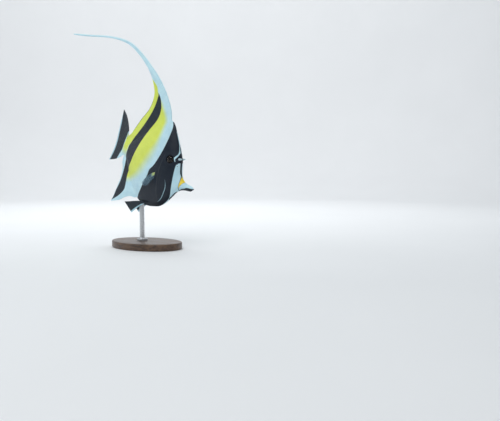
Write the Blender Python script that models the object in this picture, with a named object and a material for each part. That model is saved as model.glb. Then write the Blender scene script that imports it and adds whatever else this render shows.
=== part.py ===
"""Moorish idol as a life-size museum model on a plain display stand, in solids."""
import bpy
import bmesh
import math
import numpy as np

for old in list(bpy.data.objects):
    bpy.data.objects.remove(old, do_unlink=True)

# Lengths in metres. Shares are shares of the standard length, snout tip to tail fin base.
STANDARD_LENGTH = 0.150
JOINT_GAP = 0.0003
EDGE_HALF = 0.0009
NOSE_DOWN = math.radians(21.5)
TAIL_TURN = math.radians(14.0)
TURN_START = 0.42
TURN_FADE = (0.45, 0.85)
FISH_SHIFT = (-0.050, 0.0, 0.142)

# Side view of the body: share along from the tail fin base, share up from the snout line.
TOP_LINE = ((0.0, 0.09), (0.04, 0.099), (0.1, 0.137), (0.2, 0.229), (0.3, 0.325), (0.4, 0.415),
            (0.48, 0.47), (0.54, 0.488), (0.58, 0.462), (0.62, 0.413), (0.67, 0.35), (0.71, 0.293),
            (0.745, 0.236), (0.765, 0.195), (0.779, 0.148), (0.792, 0.105), (0.808, 0.07), (0.83, 0.042),
            (0.86, 0.022), (0.895, 0.01), (0.93, 0.007), (0.952, 0.007), (0.972, 0.003), (0.985, -0.004))
BOTTOM_LINE = ((0.0, -0.035), (0.04, -0.044), (0.1, -0.09), (0.2, -0.202), (0.3, -0.3), (0.38, -0.354),
               (0.46, -0.374), (0.54, -0.366), (0.6, -0.346), (0.67, -0.312), (0.73, -0.253),
               (0.775, -0.183), (0.81, -0.122), (0.845, -0.084), (0.885, -0.063), (0.918, -0.053),
               (0.95, -0.046), (0.969, -0.039), (0.985, -0.02))
HALF_WIDTH = ((0.0, 0.014), (0.05, 0.02), (0.1, 0.03), (0.2, 0.05), (0.3, 0.067), (0.4, 0.079),
              (0.5, 0.087), (0.6, 0.089), (0.68, 0.082), (0.74, 0.068), (0.79, 0.052), (0.83, 0.041),
              (0.875, 0.033), (0.92, 0.0265), (0.952, 0.0265), (0.971, 0.0235), (0.985, 0.011))
SECTION_POWER = ((0.0, 1.1), (0.15, 1.5), (0.4, 1.65), (0.6, 1.5), (0.75, 1.1), (0.85, 0.95), (1.0, 0.9))
SNOUT_TIP = 0.985
SNOUT_CROWDING = 0.85
HEAD_REAR = 0.615
PEDUNCLE_FRONT = 0.1
SLOPE_STEP = 0.004

# Gill cover: how far its edge bows back, over what length, and the height shares where its rim fades.
GILL_BULGE = 0.055
GILL_REACH = 0.16
GILL_RISE = 0.0006
GILL_WIDE = 0.022
GILL_FOOT = (-0.85, -0.6)
GILL_TOP = (0.3, 0.55)

HEAD_STATIONS = 30
BODY_STATIONS = 15
PEDUNCLE_STATIONS = 5
SECTION_STEPS = 20

# Fins in the side view, each line from its root outwards or from front to rear.
DORSAL_BASE = (0.533, 0.01)
DORSAL_LEAD = ((0.533, 0.49), (0.476, 0.592), (0.369, 0.713), (0.227, 0.824), (0.092, 0.901))
DORSAL_CUT = ((0.092, 0.901), (0.07, 0.858))
DORSAL_MARGIN = ((0.07, 0.858), (0.14, 0.799), (0.192, 0.735), (0.229, 0.668), (0.236, 0.61),
                 (0.219, 0.519), (0.137, 0.375), (0.075, 0.252), (0.044, 0.192), (0.012, 0.163))
DORSAL_REAR = ((0.01, 0.095), (0.004, 0.13), (0.012, 0.163))
ANAL_BASE = (0.385, 0.02)
ANAL_LEAD = ((0.385, -0.36), (0.285, -0.374), (0.205, -0.416), (0.142, -0.47), (-0.003, -0.549))
ANAL_MARGIN = ((-0.003, -0.549), (0.025, -0.46), (0.046, -0.35), (0.058, -0.234), (0.046, -0.15),
               (0.022, -0.11))
ANAL_REAR = ((0.02, -0.041), (0.016, -0.078), (0.022, -0.11))
CAUDAL_TOP = ((-0.003, 0.088), (-0.001, 0.135), (-0.014, 0.208), (-0.06, 0.277), (-0.122, 0.336), (-0.19, 0.372))
CAUDAL_MARGIN = ((-0.19, 0.372), (-0.188, 0.29), (-0.18, 0.16), (-0.181, 0.04), (-0.196, -0.08), (-0.222, -0.178))
CAUDAL_BOTTOM = ((-0.003, -0.033), (-0.025, -0.066), (-0.075, -0.107), (-0.145, -0.145), (-0.222, -0.178))
FIN_ROOT_LIFT = 0.003
FIN_ROOT_HALF = 0.0008
FIN_EDGE_HALF = 0.0003
FIN_LEAD_HALF = 0.00075
FIN_LEAD_WIDE = 0.06
FIN_LEAD_THINNING = 0.4
FIN_TAPER = 0.7

DORSAL_RAYS = 40
ANAL_RAYS = 33
CAUDAL_RAYS = 17
PECTORAL_RAYS = 13
PELVIC_RAYS = 6
RAY_RISE = 0.00022
RAY_START = 0.3
RAY_THINNING = 0.5
FIN_ROWS = 8
DORSAL_CUT_STEPS = 6

# Filament that the third dorsal spine carries on, in three lengths.
FILAMENT_PATH = ((0.081, 0.8795), (0.015, 0.917), (-0.072, 0.959), (-0.15, 0.991), (-0.225, 1.011),
                 (-0.31, 1.018), (-0.42, 1.012), (-0.536, 0.994), (-0.66, 0.965), (-0.79, 0.935), (-0.93, 0.907))
FILAMENT_SWAY = 0.10
FILAMENT_WIDE = ((0.0, 0.0036), (0.12, 0.0029), (0.3, 0.0022), (0.5, 0.0015), (0.8, 0.0013), (0.93, 0.0012),
                 (1.0, 0.0008))
FILAMENT_THICK = ((0.0, 0.0007), (0.15, 0.0008), (0.4, 0.0009), (0.8, 0.0008), (1.0, 0.0004))
FILAMENT_CUTS = (0.0, 0.3, 0.63, 1.0)
FILAMENT_REACH = 1.0
FILAMENT_SQUARE = 0.08
FILAMENT_STATIONS = 12
FILAMENT_SIDES = 8
FILAMENT_STEP = 0.01

EYE_AT = (0.685, 0.166)
EYE_RADIUS = 0.0054
EYE_DEPTH = 0.0032
EYE_SINK = 0.0020
EYE_MESH = (24, 10)
HORN_AT = (0.757, 0.191)
HORN_AIM = (1.0, 0.35)
HORN_LEAN = (0.55, 0.83)
HORN_LENGTH = 0.0036
HORN_RADIUS = 0.0016
HORN_SIDES = 10
HORN_LEVELS = (0.0, 0.25, 0.5, 0.72, 0.88, 0.97)
HORN_TAPER = 0.45
LID_RADIUS = 0.0057
LID_HALF = 0.00045
LID_STEPS = 28
LID_SIDES = 6
LIFT_STEP = 0.001
OUTWARD_STEP = 0.01
NOSTRILS = ((0.768, 0.128), (0.762, 0.145))
NOSTRIL_RADIUS = 0.00055
NOSTRIL_LIFT = 0.0001
MOUTH_LINE = ((0.944, -0.0155), (0.97, -0.0105), (0.995, -0.0085))
MOUTH_HALF = 0.00025
MOUTH_REACH = 0.035

PECTORAL_ROOT = ((0.588, 0.004), (0.58, -0.052))
PECTORAL_REACH = 0.030
PECTORAL_BULGE = 0.003
PECTORAL_KNEE = ((0.38, 0.12, 0.2), (0.04, 0.14, 0.2))
PECTORAL_TIP = ((0.53, 0.24, 0.74), (0.05, 0.25, 0.40))
PELVIC_ROOT = ((0.575, -0.312), (0.548, -0.326))
PELVIC_KNEE = ((0.488, 0.04, -0.345), (0.44, 0.04, -0.352))
PELVIC_TIP = ((0.396, 0.05, -0.498), (0.262, 0.046, -0.438))
PAIRED_ROOT_HALF = 0.0005
PAIRED_TIP_HALF = 0.00027
PAIRED_TAPER = 0.6
PAIRED_RAY_START = 0.4
PAIRED_ROWS = 6

BASE_SIZE = (0.118, 0.076, 0.010)
BASE_SIDES = 56
BASE_BEVEL = 0.0015
BASE_ROUNDING = 0.3
ROD_ALONG = 0.445
ROD_RADIUS = 0.0035
ROD_FOOT_RADIUS = 0.008
ROD_FOOT_HEIGHT = 0.003
ROD_FOOT_BEVEL = 0.001
ROD_SIDES = 28
ROD_SLOT_DEPTH = 0.0014
ROD_SLOT_HALF = 0.0023
ROD_SLOT_BOX = (0.03, 0.02)
KEEL_STEP = 0.02


def smooth_line(pairs, where):
    """Smooth curve through pairs of share and value, read at any shares."""
    table = np.array(pairs, float)
    xs, ys = table[:, 0], table[:, 1:]
    slopes = np.gradient(ys, xs, axis=0)
    where = np.clip(np.asarray(where, float), xs[0], xs[-1])
    k = np.clip(np.searchsorted(xs, where, side="right") - 1, 0, len(xs) - 2)
    step = xs[k + 1] - xs[k]
    t = ((where - xs[k]) / step)[..., None]
    step = step[..., None]
    value = ((1 + 2 * t) * (1 - t) ** 2 * ys[k] + t * (1 - t) ** 2 * step * slopes[k]
             + t * t * (3 - 2 * t) * ys[k + 1] + t * t * (t - 1) * step * slopes[k + 1])
    return value[..., 0] if value.shape[-1] == 1 else value


def trace(points, shares):
    """Points at shares of the length of a smooth line through a few points."""
    points = np.array(points, float)
    chords = np.linalg.norm(np.diff(points, axis=0), axis=1)
    knots = np.concatenate([[0.0], np.cumsum(chords)])
    pairs = np.column_stack([knots / knots[-1], points])
    return smooth_line(pairs, shares)


def fade(value, start, end):
    """Smooth change from 0 at start to 1 at end."""
    t = np.clip((value - start) / (end - start), 0.0, 1.0)
    return t * t * (3 - 2 * t)


def place(along, side, up):
    """World points from shares along and up and metres to the fish's right, with the tail's turn."""
    along, side, up = np.broadcast_arrays(np.asarray(along, float), side, up)
    back = np.clip(TURN_START - along, 0.0, None)
    inside = np.minimum(back, TURN_START)
    bow = math.tan(TAIL_TURN) * (inside ** 2 / (2 * TURN_START) + back - inside)
    bow = bow * (1 - fade(up, *TURN_FADE))
    x = along * STANDARD_LENGTH
    y = bow * STANDARD_LENGTH - side
    z = up * STANDARD_LENGTH
    cos, sin = math.cos(NOSE_DOWN), math.sin(NOSE_DOWN)
    return np.stack([x * cos + z * sin + FISH_SHIFT[0], y + FISH_SHIFT[1],
                     -x * sin + z * cos + FISH_SHIFT[2]], -1)


def half_at(along, height):
    """Half width of the body in metres, from its share along and height share -1 to 1."""
    width = smooth_line(HALF_WIDTH, along) * STANDARD_LENGTH
    power = smooth_line(SECTION_POWER, along)
    inner = np.clip(1 - height ** 2, 0.0, 1.0) ** (power / 2)
    return np.sqrt((width * inner) ** 2 + EDGE_HALF ** 2)


def height_share(along, up):
    """Height share -1 to 1 of a point of the side view."""
    top = smooth_line(TOP_LINE, along)
    bottom = smooth_line(BOTTOM_LINE, along)
    return (2 * up - top - bottom) / (top - bottom)


def skin_point(along, up, side, lift=0.0):
    """Point on the body's side, lifted off it by a few tenths of a millimetre; side is 1 for the right."""
    here = skin_side(along, up, side)
    ahead = skin_side(along + SLOPE_STEP, up, side) - here
    above = skin_side(along, up + SLOPE_STEP, side) - here
    return here + unit_rows(np.cross(ahead, above) * side) * lift


def skin_side(along, up, side):
    """Point on the body's side, from its shares along and up."""
    along, up = np.asarray(along, float), np.asarray(up, float)
    return place(along, side * half_at(along, np.clip(height_share(along, up), -1, 1)), up)


def make_object(name, points, faces):
    """Mesh object from points and faces, with every face turned outwards."""
    mesh = bpy.data.meshes.new(name)
    mesh.from_pydata([tuple(p) for p in points], [], faces)
    shape = bmesh.new()
    shape.from_mesh(mesh)
    bmesh.ops.recalc_face_normals(shape, faces=shape.faces)
    shape.to_mesh(mesh)
    shape.free()
    mesh.shade_smooth()
    obj = bpy.data.objects.new(name, mesh)
    bpy.context.scene.collection.objects.link(obj)
    return obj


def slab(name, near, far):
    """Closed solid between two grids of points, triangulated alike on both sides."""
    rows, columns = near.shape[:2]
    index = np.arange(rows * columns).reshape(rows, columns)
    other = index + rows * columns
    a, b = index[:-1, :-1].ravel(), index[1:, :-1].ravel()
    c, d = index[1:, 1:].ravel(), index[:-1, 1:].ravel()
    shift = rows * columns
    faces = [np.column_stack([a, b, c]), np.column_stack([a, c, d])]
    faces += [np.column_stack([c, b, a]) + shift, np.column_stack([d, c, a]) + shift]
    edges = [(index[0], other[0]), (index[-1, ::-1], other[-1, ::-1]),
             (index[::-1, 0], other[::-1, 0]), (index[:, -1], other[:, -1])]
    for line, mate in edges:
        faces.append(np.column_stack([line[:-1], line[1:], mate[1:]]))
        faces.append(np.column_stack([line[:-1], mate[1:], mate[:-1]]))
    points = np.concatenate([near.reshape(-1, 3), far.reshape(-1, 3)])
    return make_object(name, points, np.concatenate(faces).tolist())


def tube(name, rings):
    """Closed solid through rings of points, with a fan over each end."""
    count, sides = rings.shape[:2]
    index = np.arange(count * sides).reshape(count, sides)
    turned = np.roll(index, -1, axis=1)
    a, b = index[:-1].ravel(), index[1:].ravel()
    c, d = turned[1:].ravel(), turned[:-1].ravel()
    first, last = count * sides, count * sides + 1
    faces = [np.column_stack([a, b, c]), np.column_stack([a, c, d]),
             np.column_stack([turned[0], index[0], np.full(sides, first)]),
             np.column_stack([index[-1], turned[-1], np.full(sides, last)])]
    ends = [rings[0].mean(0), rings[-1].mean(0)]
    points = np.concatenate([rings.reshape(-1, 3), ends])
    return make_object(name, points, np.concatenate(faces).tolist())


def material(name, colour, roughness):
    """One plain material for a named part."""
    made = bpy.data.materials.new(name)
    made.use_nodes = True
    shader = made.node_tree.nodes["Principled BSDF"]
    shader.inputs["Base Color"].default_value = (*colour, 1.0)
    shader.inputs["Roughness"].default_value = roughness
    return made


def ray_ridges(count):
    """Share 0 to 1 that rises over each of a row of fin rays, two columns to a ray."""
    return (np.arange(2 * count + 1) % 2).astype(float)


def body_length(name, front, rear, stations):
    """A length of the body between two shares along, rear and front faces curved like the gill cover."""
    t = np.linspace(front, rear, stations)
    if front == SNOUT_TIP:
        t = rear + (front - rear) * np.sin(np.linspace(math.pi / 2, 0, stations)) ** SNOUT_CROWDING
    angle = np.linspace(-math.pi / 2, math.pi / 2, SECTION_STEPS + 1)
    height = np.sin(angle)
    station, height = np.meshgrid(t, height, indexing="ij")
    window = np.clip(1 - np.abs(station - HEAD_REAR) / GILL_REACH, 0.0, 1.0)
    along = station + GILL_BULGE * fade(window, 0.0, 1.0) * height ** 2
    top = smooth_line(TOP_LINE, along)
    bottom = smooth_line(BOTTOM_LINE, along)
    up = (top + bottom) / 2 + height * (top - bottom) / 2
    half = half_at(along, height)
    if name == "head":
        cover = fade(height, *GILL_FOOT) * (1 - fade(height, *GILL_TOP))
        half = half + GILL_RISE * cover * np.exp(-((station - HEAD_REAR) / GILL_WIDE) ** 2)
    return slab(name, place(along, half, up), place(along, -half, up))


def patch(base, lead, margin, rear, columns, rows):
    """Grid that fills four lines: base to margin along the rows, lead to rear along the columns."""
    u = np.linspace(0, 1, columns)[None, :, None]
    w = np.linspace(0, 1, rows)[:, None, None]
    base = base[None]
    margin = margin[None]
    lead = lead[:, None]
    rear = rear[:, None]
    corners = (1 - w) * ((1 - u) * lead[:1] + u * rear[:1]) + w * ((1 - u) * lead[-1:] + u * rear[-1:])
    return (1 - w) * base + w * margin + (1 - u) * lead + u * rear - corners


def median_fin(name, grid, rays):
    """Fin in the fish's middle, thick at root and leading ray, thin at the margin, with ridged rays."""
    rows, columns = grid.shape[:2]
    w = np.linspace(0, 1, rows)[:, None]
    u = np.linspace(0, 1, columns)[None, :]
    half = FIN_ROOT_HALF + (FIN_EDGE_HALF - FIN_ROOT_HALF) * w ** FIN_TAPER
    rise = RAY_RISE * fade(w, 0.0, RAY_START) * (1 - RAY_THINNING * w)
    half = half + ray_ridges(rays)[None, :] * rise
    lead = (1 - fade(u, 0.0, FIN_LEAD_WIDE)) * (1 - FIN_LEAD_THINNING * w)
    half = half + (FIN_LEAD_HALF - half) * lead
    return slab(name, place(grid[..., 0], half, grid[..., 1]), place(grid[..., 0], -half, grid[..., 1]))


def body_edge(line, ends, columns, lift):
    """Line just off the body's top or bottom edge, where a fin starts."""
    along = np.linspace(ends[0], ends[1], columns)
    return np.column_stack([along, smooth_line(line, along) + lift])


def build_dorsal_fin():
    """Dorsal fin, with a straight cut at its peak where the filament goes on."""
    columns = 2 * DORSAL_RAYS + 1
    rise = np.linspace(0, 1, FIN_ROWS)
    cut_shares = np.linspace(0, 1, DORSAL_CUT_STEPS)[:, None]
    cut_line = np.array(DORSAL_CUT[0]) * (1 - cut_shares) + np.array(DORSAL_CUT[1]) * cut_shares
    rest = trace(DORSAL_MARGIN, np.linspace(0, 1, columns - DORSAL_CUT_STEPS + 1))
    margin = np.concatenate([cut_line, rest[1:]])
    base = body_edge(TOP_LINE, DORSAL_BASE, columns, FIN_ROOT_LIFT)
    grid = patch(base, trace(DORSAL_LEAD, rise), margin, trace(DORSAL_REAR, rise), columns, FIN_ROWS)
    return median_fin("dorsal_fin", grid, DORSAL_RAYS)


def build_anal_fin():
    """Anal fin, from the belly's keel to its pointed lobe."""
    columns = 2 * ANAL_RAYS + 1
    rise = np.linspace(0, 1, FIN_ROWS)
    base = body_edge(BOTTOM_LINE, ANAL_BASE, columns, -FIN_ROOT_LIFT)
    margin = trace(ANAL_MARGIN, np.linspace(0, 1, columns))
    grid = patch(base, trace(ANAL_LEAD, rise), margin, trace(ANAL_REAR, rise), columns, FIN_ROWS)
    return median_fin("anal_fin", grid, ANAL_RAYS)


def build_caudal_fin():
    """Tail fin with a nearly straight rear margin."""
    columns = 2 * CAUDAL_RAYS + 1
    rise = np.linspace(0, 1, FIN_ROWS)
    shares = np.linspace(0, 1, columns)[:, None]
    base = np.array(CAUDAL_TOP[0]) * (1 - shares) + np.array(CAUDAL_BOTTOM[0]) * shares
    margin = trace(CAUDAL_MARGIN, shares[:, 0])
    grid = patch(base, trace(CAUDAL_TOP, rise), margin, trace(CAUDAL_BOTTOM, rise), columns, FIN_ROWS)
    return median_fin("caudal_fin", grid, CAUDAL_RAYS)


def build_filament():
    """Three lengths of the trailing filament, flat at the fin and round at the tip."""
    pieces = []
    gap = JOINT_GAP / (STANDARD_LENGTH * FILAMENT_REACH)
    cut_line = unit(np.array(DORSAL_CUT[0]) - np.array(DORSAL_CUT[1]))
    for k in range(len(FILAMENT_CUTS) - 1):
        start = FILAMENT_CUTS[k] + gap
        shares = np.linspace(start, FILAMENT_CUTS[k + 1], FILAMENT_STATIONS)
        path = trace(FILAMENT_PATH, shares)
        ahead = trace(FILAMENT_PATH, np.minimum(shares + FILAMENT_STEP, 1.0))
        behind = trace(FILAMENT_PATH, np.maximum(shares - FILAMENT_STEP, 0.0))
        tangent = unit_rows(ahead - behind)
        across = np.column_stack([tangent[:, 1], -tangent[:, 0]])
        square = 1 - fade(shares, gap, FILAMENT_SQUARE)[:, None]
        across = across * (1 - square) + cut_line * square
        turn = np.linspace(0, 2 * math.pi, FILAMENT_SIDES, endpoint=False)
        wide = smooth_line(FILAMENT_WIDE, shares)[:, None] / STANDARD_LENGTH
        thick = smooth_line(FILAMENT_THICK, shares)[:, None]
        sway = FILAMENT_SWAY * STANDARD_LENGTH * shares[:, None] ** 2
        along = path[:, :1] + across[:, :1] * wide * np.cos(turn)
        up = path[:, 1:] + across[:, 1:] * wide * np.cos(turn)
        rings = place(along, thick * np.sin(turn) + sway, up)
        pieces.append(tube("dorsal_filament_%d" % (k + 1), rings))
    return pieces


def unit(vector):
    """One direction, scaled to length 1."""
    return vector / np.linalg.norm(vector)


def unit_rows(vectors):
    """Many directions, each scaled to length 1."""
    return vectors / np.linalg.norm(vectors, axis=-1, keepdims=True)


def side_name(side):
    """Name of the fish's own side."""
    return "right" if side > 0 else "left"


def build_eye(side):
    """Flattened ball set into the side of the head, and the same ball a little larger to cut its socket."""
    centre = skin_point(np.array(EYE_AT[0]), np.array(EYE_AT[1]), side, -EYE_SINK)
    outer = skin_point(np.array(EYE_AT[0]), np.array(EYE_AT[1]), side, 0.0)
    normal = unit(outer - centre)
    made = []
    for name, grow in (("eye_" + side_name(side), 0.0), ("socket_" + side_name(side), JOINT_GAP)):
        bpy.ops.mesh.primitive_uv_sphere_add(segments=EYE_MESH[0], ring_count=EYE_MESH[1], radius=1.0)
        ball = bpy.context.object
        ball.name = name
        ball.scale = (EYE_RADIUS + grow, EYE_RADIUS + grow, EYE_DEPTH + grow)
        ball.rotation_mode = "QUATERNION"
        ball.rotation_quaternion = to_axis(normal)
        ball.location = tuple(centre)
        ball.data.shade_smooth()
        made.append(ball)
    return made


def to_axis(direction):
    """Turn that carries +Z onto a direction."""
    z = unit(np.array(direction, float))
    turn = np.cross((0.0, 0.0, 1.0), z)
    return tuple(unit(np.array([1 + z[2], *turn])))


def build_lid(side):
    """Ring of the eyelid, half sunk in the skin around the eye."""
    turn = np.linspace(0, 2 * math.pi, LID_STEPS, endpoint=False)
    roll = np.linspace(0, 2 * math.pi, LID_SIDES, endpoint=False)[None, :, None]
    radius = LID_RADIUS / STANDARD_LENGTH
    along = EYE_AT[0] + radius * np.cos(turn)
    up = EYE_AT[1] + radius * np.sin(turn)
    ring = skin_point(along, up, side)
    normal = unit_rows(skin_point(along, up, side, LIFT_STEP) - ring)
    onward = unit_rows(np.roll(ring, -1, axis=0) - np.roll(ring, 1, axis=0))
    outward = np.cross(onward, normal)
    rings = ring[:, None] + LID_HALF * (np.cos(roll) * outward[:, None] + np.sin(roll) * normal[:, None])
    index = np.arange(LID_STEPS * LID_SIDES).reshape(LID_STEPS, LID_SIDES)
    after, beside = np.roll(index, -1, axis=0), np.roll(index, -1, axis=1)
    corner = np.roll(after, -1, axis=1)
    faces = np.concatenate([np.column_stack([index.ravel(), after.ravel(), corner.ravel()]),
                            np.column_stack([index.ravel(), corner.ravel(), beside.ravel()])])
    return make_object("lid_" + side_name(side), rings.reshape(-1, 3), faces.tolist())


def build_nostril(side, number):
    """Small ball that cuts one nostril's pit."""
    bpy.ops.mesh.primitive_ico_sphere_add(subdivisions=2, radius=NOSTRIL_RADIUS)
    pit = bpy.context.object
    pit.name = "nostril_%s_%d" % (side_name(side), number)
    along, up = NOSTRILS[number]
    pit.location = tuple(skin_point(np.array(along), np.array(up), side, NOSTRIL_LIFT))
    return pit


def build_mouth_cut():
    """Thin curved leaf that parts the lips."""
    line = np.array(MOUTH_LINE)
    reach = MOUTH_REACH * STANDARD_LENGTH * np.array([-1.0, 0.0, 1.0])
    along = line[:, 0][:, None] + np.zeros(3)
    up = line[:, 1][:, None] + np.zeros(3)
    half = MOUTH_HALF / STANDARD_LENGTH
    side = np.zeros((len(line), 1)) + reach
    return slab("mouth_cut", place(along, side, up + half), place(along, side, up - half))


def build_horn(side):
    """Small bony horn in front of the eye, its root parallel to the skin."""
    turn = np.linspace(0, 2 * math.pi, HORN_SIDES, endpoint=False)
    radius = HORN_RADIUS / STANDARD_LENGTH
    along = HORN_AT[0] + radius * np.cos(turn)
    up = HORN_AT[1] + radius * np.sin(turn)
    root = skin_point(along, up, side, JOINT_GAP)
    centre = root.mean(0)
    out = unit(skin_point(np.array(HORN_AT[0]), np.array(HORN_AT[1]), side, OUTWARD_STEP) - centre)
    forward = unit(place(HORN_AIM[0], 0.0, HORN_AIM[1]) - place(TURN_START, 0.0, 0.0))
    tip = centre + HORN_LENGTH * (HORN_LEAN[0] * out + HORN_LEAN[1] * forward)
    rings = []
    for t in HORN_LEVELS:
        scale = (1 - t) ** HORN_TAPER
        rings.append(centre + (root - centre) * scale + (tip - centre) * t)
    return tube("horn_" + side_name(side), np.array(rings))


def paired_fin(name, side, root, knee, tip, bulge, rays):
    """Fan of rays from a short root line on the skin; knee and tip are world points of its outer rays."""
    shares = np.linspace(0, 1, 2 * rays + 1)
    line = np.array(root)
    line = line[0] + (line[1] - line[0]) * shares[:, None]
    base = skin_point(line[:, 0], line[:, 1], side, JOINT_GAP + PAIRED_ROOT_HALF)
    knees = knee[0] + (knee[1] - knee[0]) * shares[:, None]
    tips = tip[0] + (tip[1] - tip[0]) * shares[:, None]
    onward = unit((tip[0] + tip[1]) / 2 - (knee[0] + knee[1]) / 2)
    tips = tips + onward * (bulge * np.sin(math.pi * shares))[:, None]
    w = np.linspace(0, 1, PAIRED_ROWS)[:, None, None]
    grid = base * (1 - w) ** 2 + knees * 2 * w * (1 - w) + tips * w ** 2
    normal = unit_rows(np.cross(np.gradient(grid, axis=1), np.gradient(grid, axis=0)))
    half = PAIRED_ROOT_HALF + (PAIRED_TIP_HALF - PAIRED_ROOT_HALF) * w ** PAIRED_TAPER
    rise = RAY_RISE * fade(w, 0.0, PAIRED_RAY_START) * (1 - RAY_THINNING * w)
    half = half + ray_ridges(rays)[None, :, None] * rise
    return slab(name, grid + normal * half, grid - normal * half)


def build_pectoral(side):
    """Side fin behind the gill cover, swung out and down; knees and tips are told back, out and down."""
    root = np.array(PECTORAL_ROOT)
    start = skin_point(root[:, 0], root[:, 1], side, JOINT_GAP)
    out = np.array([0.0, -side, 0.0])
    back = unit(place(0.0, 0.0, 0.0) - place(TURN_START, 0.0, 0.0))
    down = unit(place(TURN_START, 0.0, -1.0) - place(TURN_START, 0.0, 0.0))
    directions = np.stack([back, out, down])
    knees = start + PECTORAL_REACH * np.array(PECTORAL_KNEE) @ directions
    tips = start + PECTORAL_REACH * np.array(PECTORAL_TIP) @ directions
    return paired_fin("pectoral_fin_" + side_name(side), side, PECTORAL_ROOT, knees, tips,
                      PECTORAL_BULGE, PECTORAL_RAYS)


def build_pelvic(side):
    """Long narrow fin under the belly."""
    knee = [place(a, side * l * STANDARD_LENGTH, v) for a, l, v in PELVIC_KNEE]
    tip = [place(a, side * l * STANDARD_LENGTH, v) for a, l, v in PELVIC_TIP]
    return paired_fin("pelvic_fin_" + side_name(side), side, PELVIC_ROOT, knee, tip, 0.0, PELVIC_RAYS)


def build_base():
    """Oval plate with rounded edges."""
    width, depth, height = BASE_SIZE
    part_way = BASE_BEVEL * BASE_ROUNDING
    levels = ((0.0, BASE_BEVEL), (part_way, part_way), (BASE_BEVEL, 0.0),
              (height - BASE_BEVEL, 0.0), (height - part_way, part_way), (height, BASE_BEVEL))
    turn = np.linspace(0, 2 * math.pi, BASE_SIDES, endpoint=False)
    rings = [np.column_stack([(width / 2 - inset) * np.cos(turn), (depth / 2 - inset) * np.sin(turn),
                              np.full(BASE_SIDES, level)]) for level, inset in levels]
    return tube("stand_base", np.array(rings))


def build_rod(keel):
    """Upright rod with a foot, from the base to just above the belly's keel."""
    top = keel[2] + ROD_SLOT_DEPTH
    bottom = BASE_SIZE[2] + JOINT_GAP
    foot = bottom + ROD_FOOT_HEIGHT
    bevel = ROD_FOOT_BEVEL
    profile = ((ROD_FOOT_RADIUS, bottom), (ROD_FOOT_RADIUS, foot - bevel), (ROD_FOOT_RADIUS - bevel, foot),
               (ROD_RADIUS + bevel, foot), (ROD_RADIUS, foot + bevel), (ROD_RADIUS, top))
    turn = np.linspace(0, 2 * math.pi, ROD_SIDES, endpoint=False)
    rings = [np.column_stack([keel[0] + radius * np.cos(turn), keel[1] + radius * np.sin(turn),
                              np.full(ROD_SIDES, level)]) for radius, level in profile]
    return tube("stand_rod", np.array(rings))


def build_stand():
    """Flat base, and a rod with a foot and a slotted top that holds the keel of the belly."""
    base = build_base()
    keel = place(ROD_ALONG, 0.0, smooth_line(BOTTOM_LINE, ROD_ALONG))
    onward = ROD_ALONG + KEEL_STEP
    ahead = place(onward, 0.0, smooth_line(BOTTOM_LINE, onward)) - keel
    slope = math.atan2(ahead[2], ahead[0])
    rod = build_rod(keel)
    length, depth = ROD_SLOT_BOX
    bpy.ops.mesh.primitive_cube_add(size=1.0)
    slot = bpy.context.object
    slot.name = "rod_slot"
    slot.scale = (length, 2 * ROD_SLOT_HALF, depth)
    slot.rotation_euler = (0.0, -slope, 0.0)
    lift = depth / 2 - JOINT_GAP
    slot.location = (keel[0] - lift * math.sin(slope), keel[1], keel[2] + lift * math.cos(slope))
    cut(rod, slot)
    return base, rod


def cut(target, cutter, operation="DIFFERENCE"):
    """Take a cutter's shape out of a solid, or join it on."""
    cutter.hide_render = True
    cutter.display_type = "WIRE"
    modifier = target.modifiers.new("use_" + cutter.name, "BOOLEAN")
    modifier.operation = operation
    modifier.solver = "EXACT"
    modifier.object = cutter


def build_fish():
    """Every part of the fish, with its cutters on the head."""
    gap = JOINT_GAP / STANDARD_LENGTH
    head = body_length("head", SNOUT_TIP, HEAD_REAR + gap / 2, HEAD_STATIONS)
    body = body_length("body", HEAD_REAR - gap / 2, PEDUNCLE_FRONT + gap / 2, BODY_STATIONS)
    peduncle = body_length("peduncle", PEDUNCLE_FRONT - gap / 2, 0.0, PEDUNCLE_STATIONS)
    dorsal = build_dorsal_fin()
    anal = build_anal_fin()
    caudal = build_caudal_fin()
    filament = build_filament()
    eyes = []
    horns = []
    pectorals = []
    pelvics = []
    for side in (1, -1):
        eye, socket = build_eye(side)
        cut(head, build_lid(side), "UNION")
        cut(head, socket)
        for number in range(len(NOSTRILS)):
            cut(head, build_nostril(side, number))
        eyes.append(eye)
        horns.append(build_horn(side))
        pectorals.append(build_pectoral(side))
        pelvics.append(build_pelvic(side))
    cut(head, build_mouth_cut())
    return {"head": head, "body": body, "peduncle": peduncle, "dorsal": dorsal, "anal": anal,
            "caudal": caudal, "filament": filament, "eyes": eyes, "horns": horns,
            "pectorals": pectorals, "pelvics": pelvics}


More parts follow.
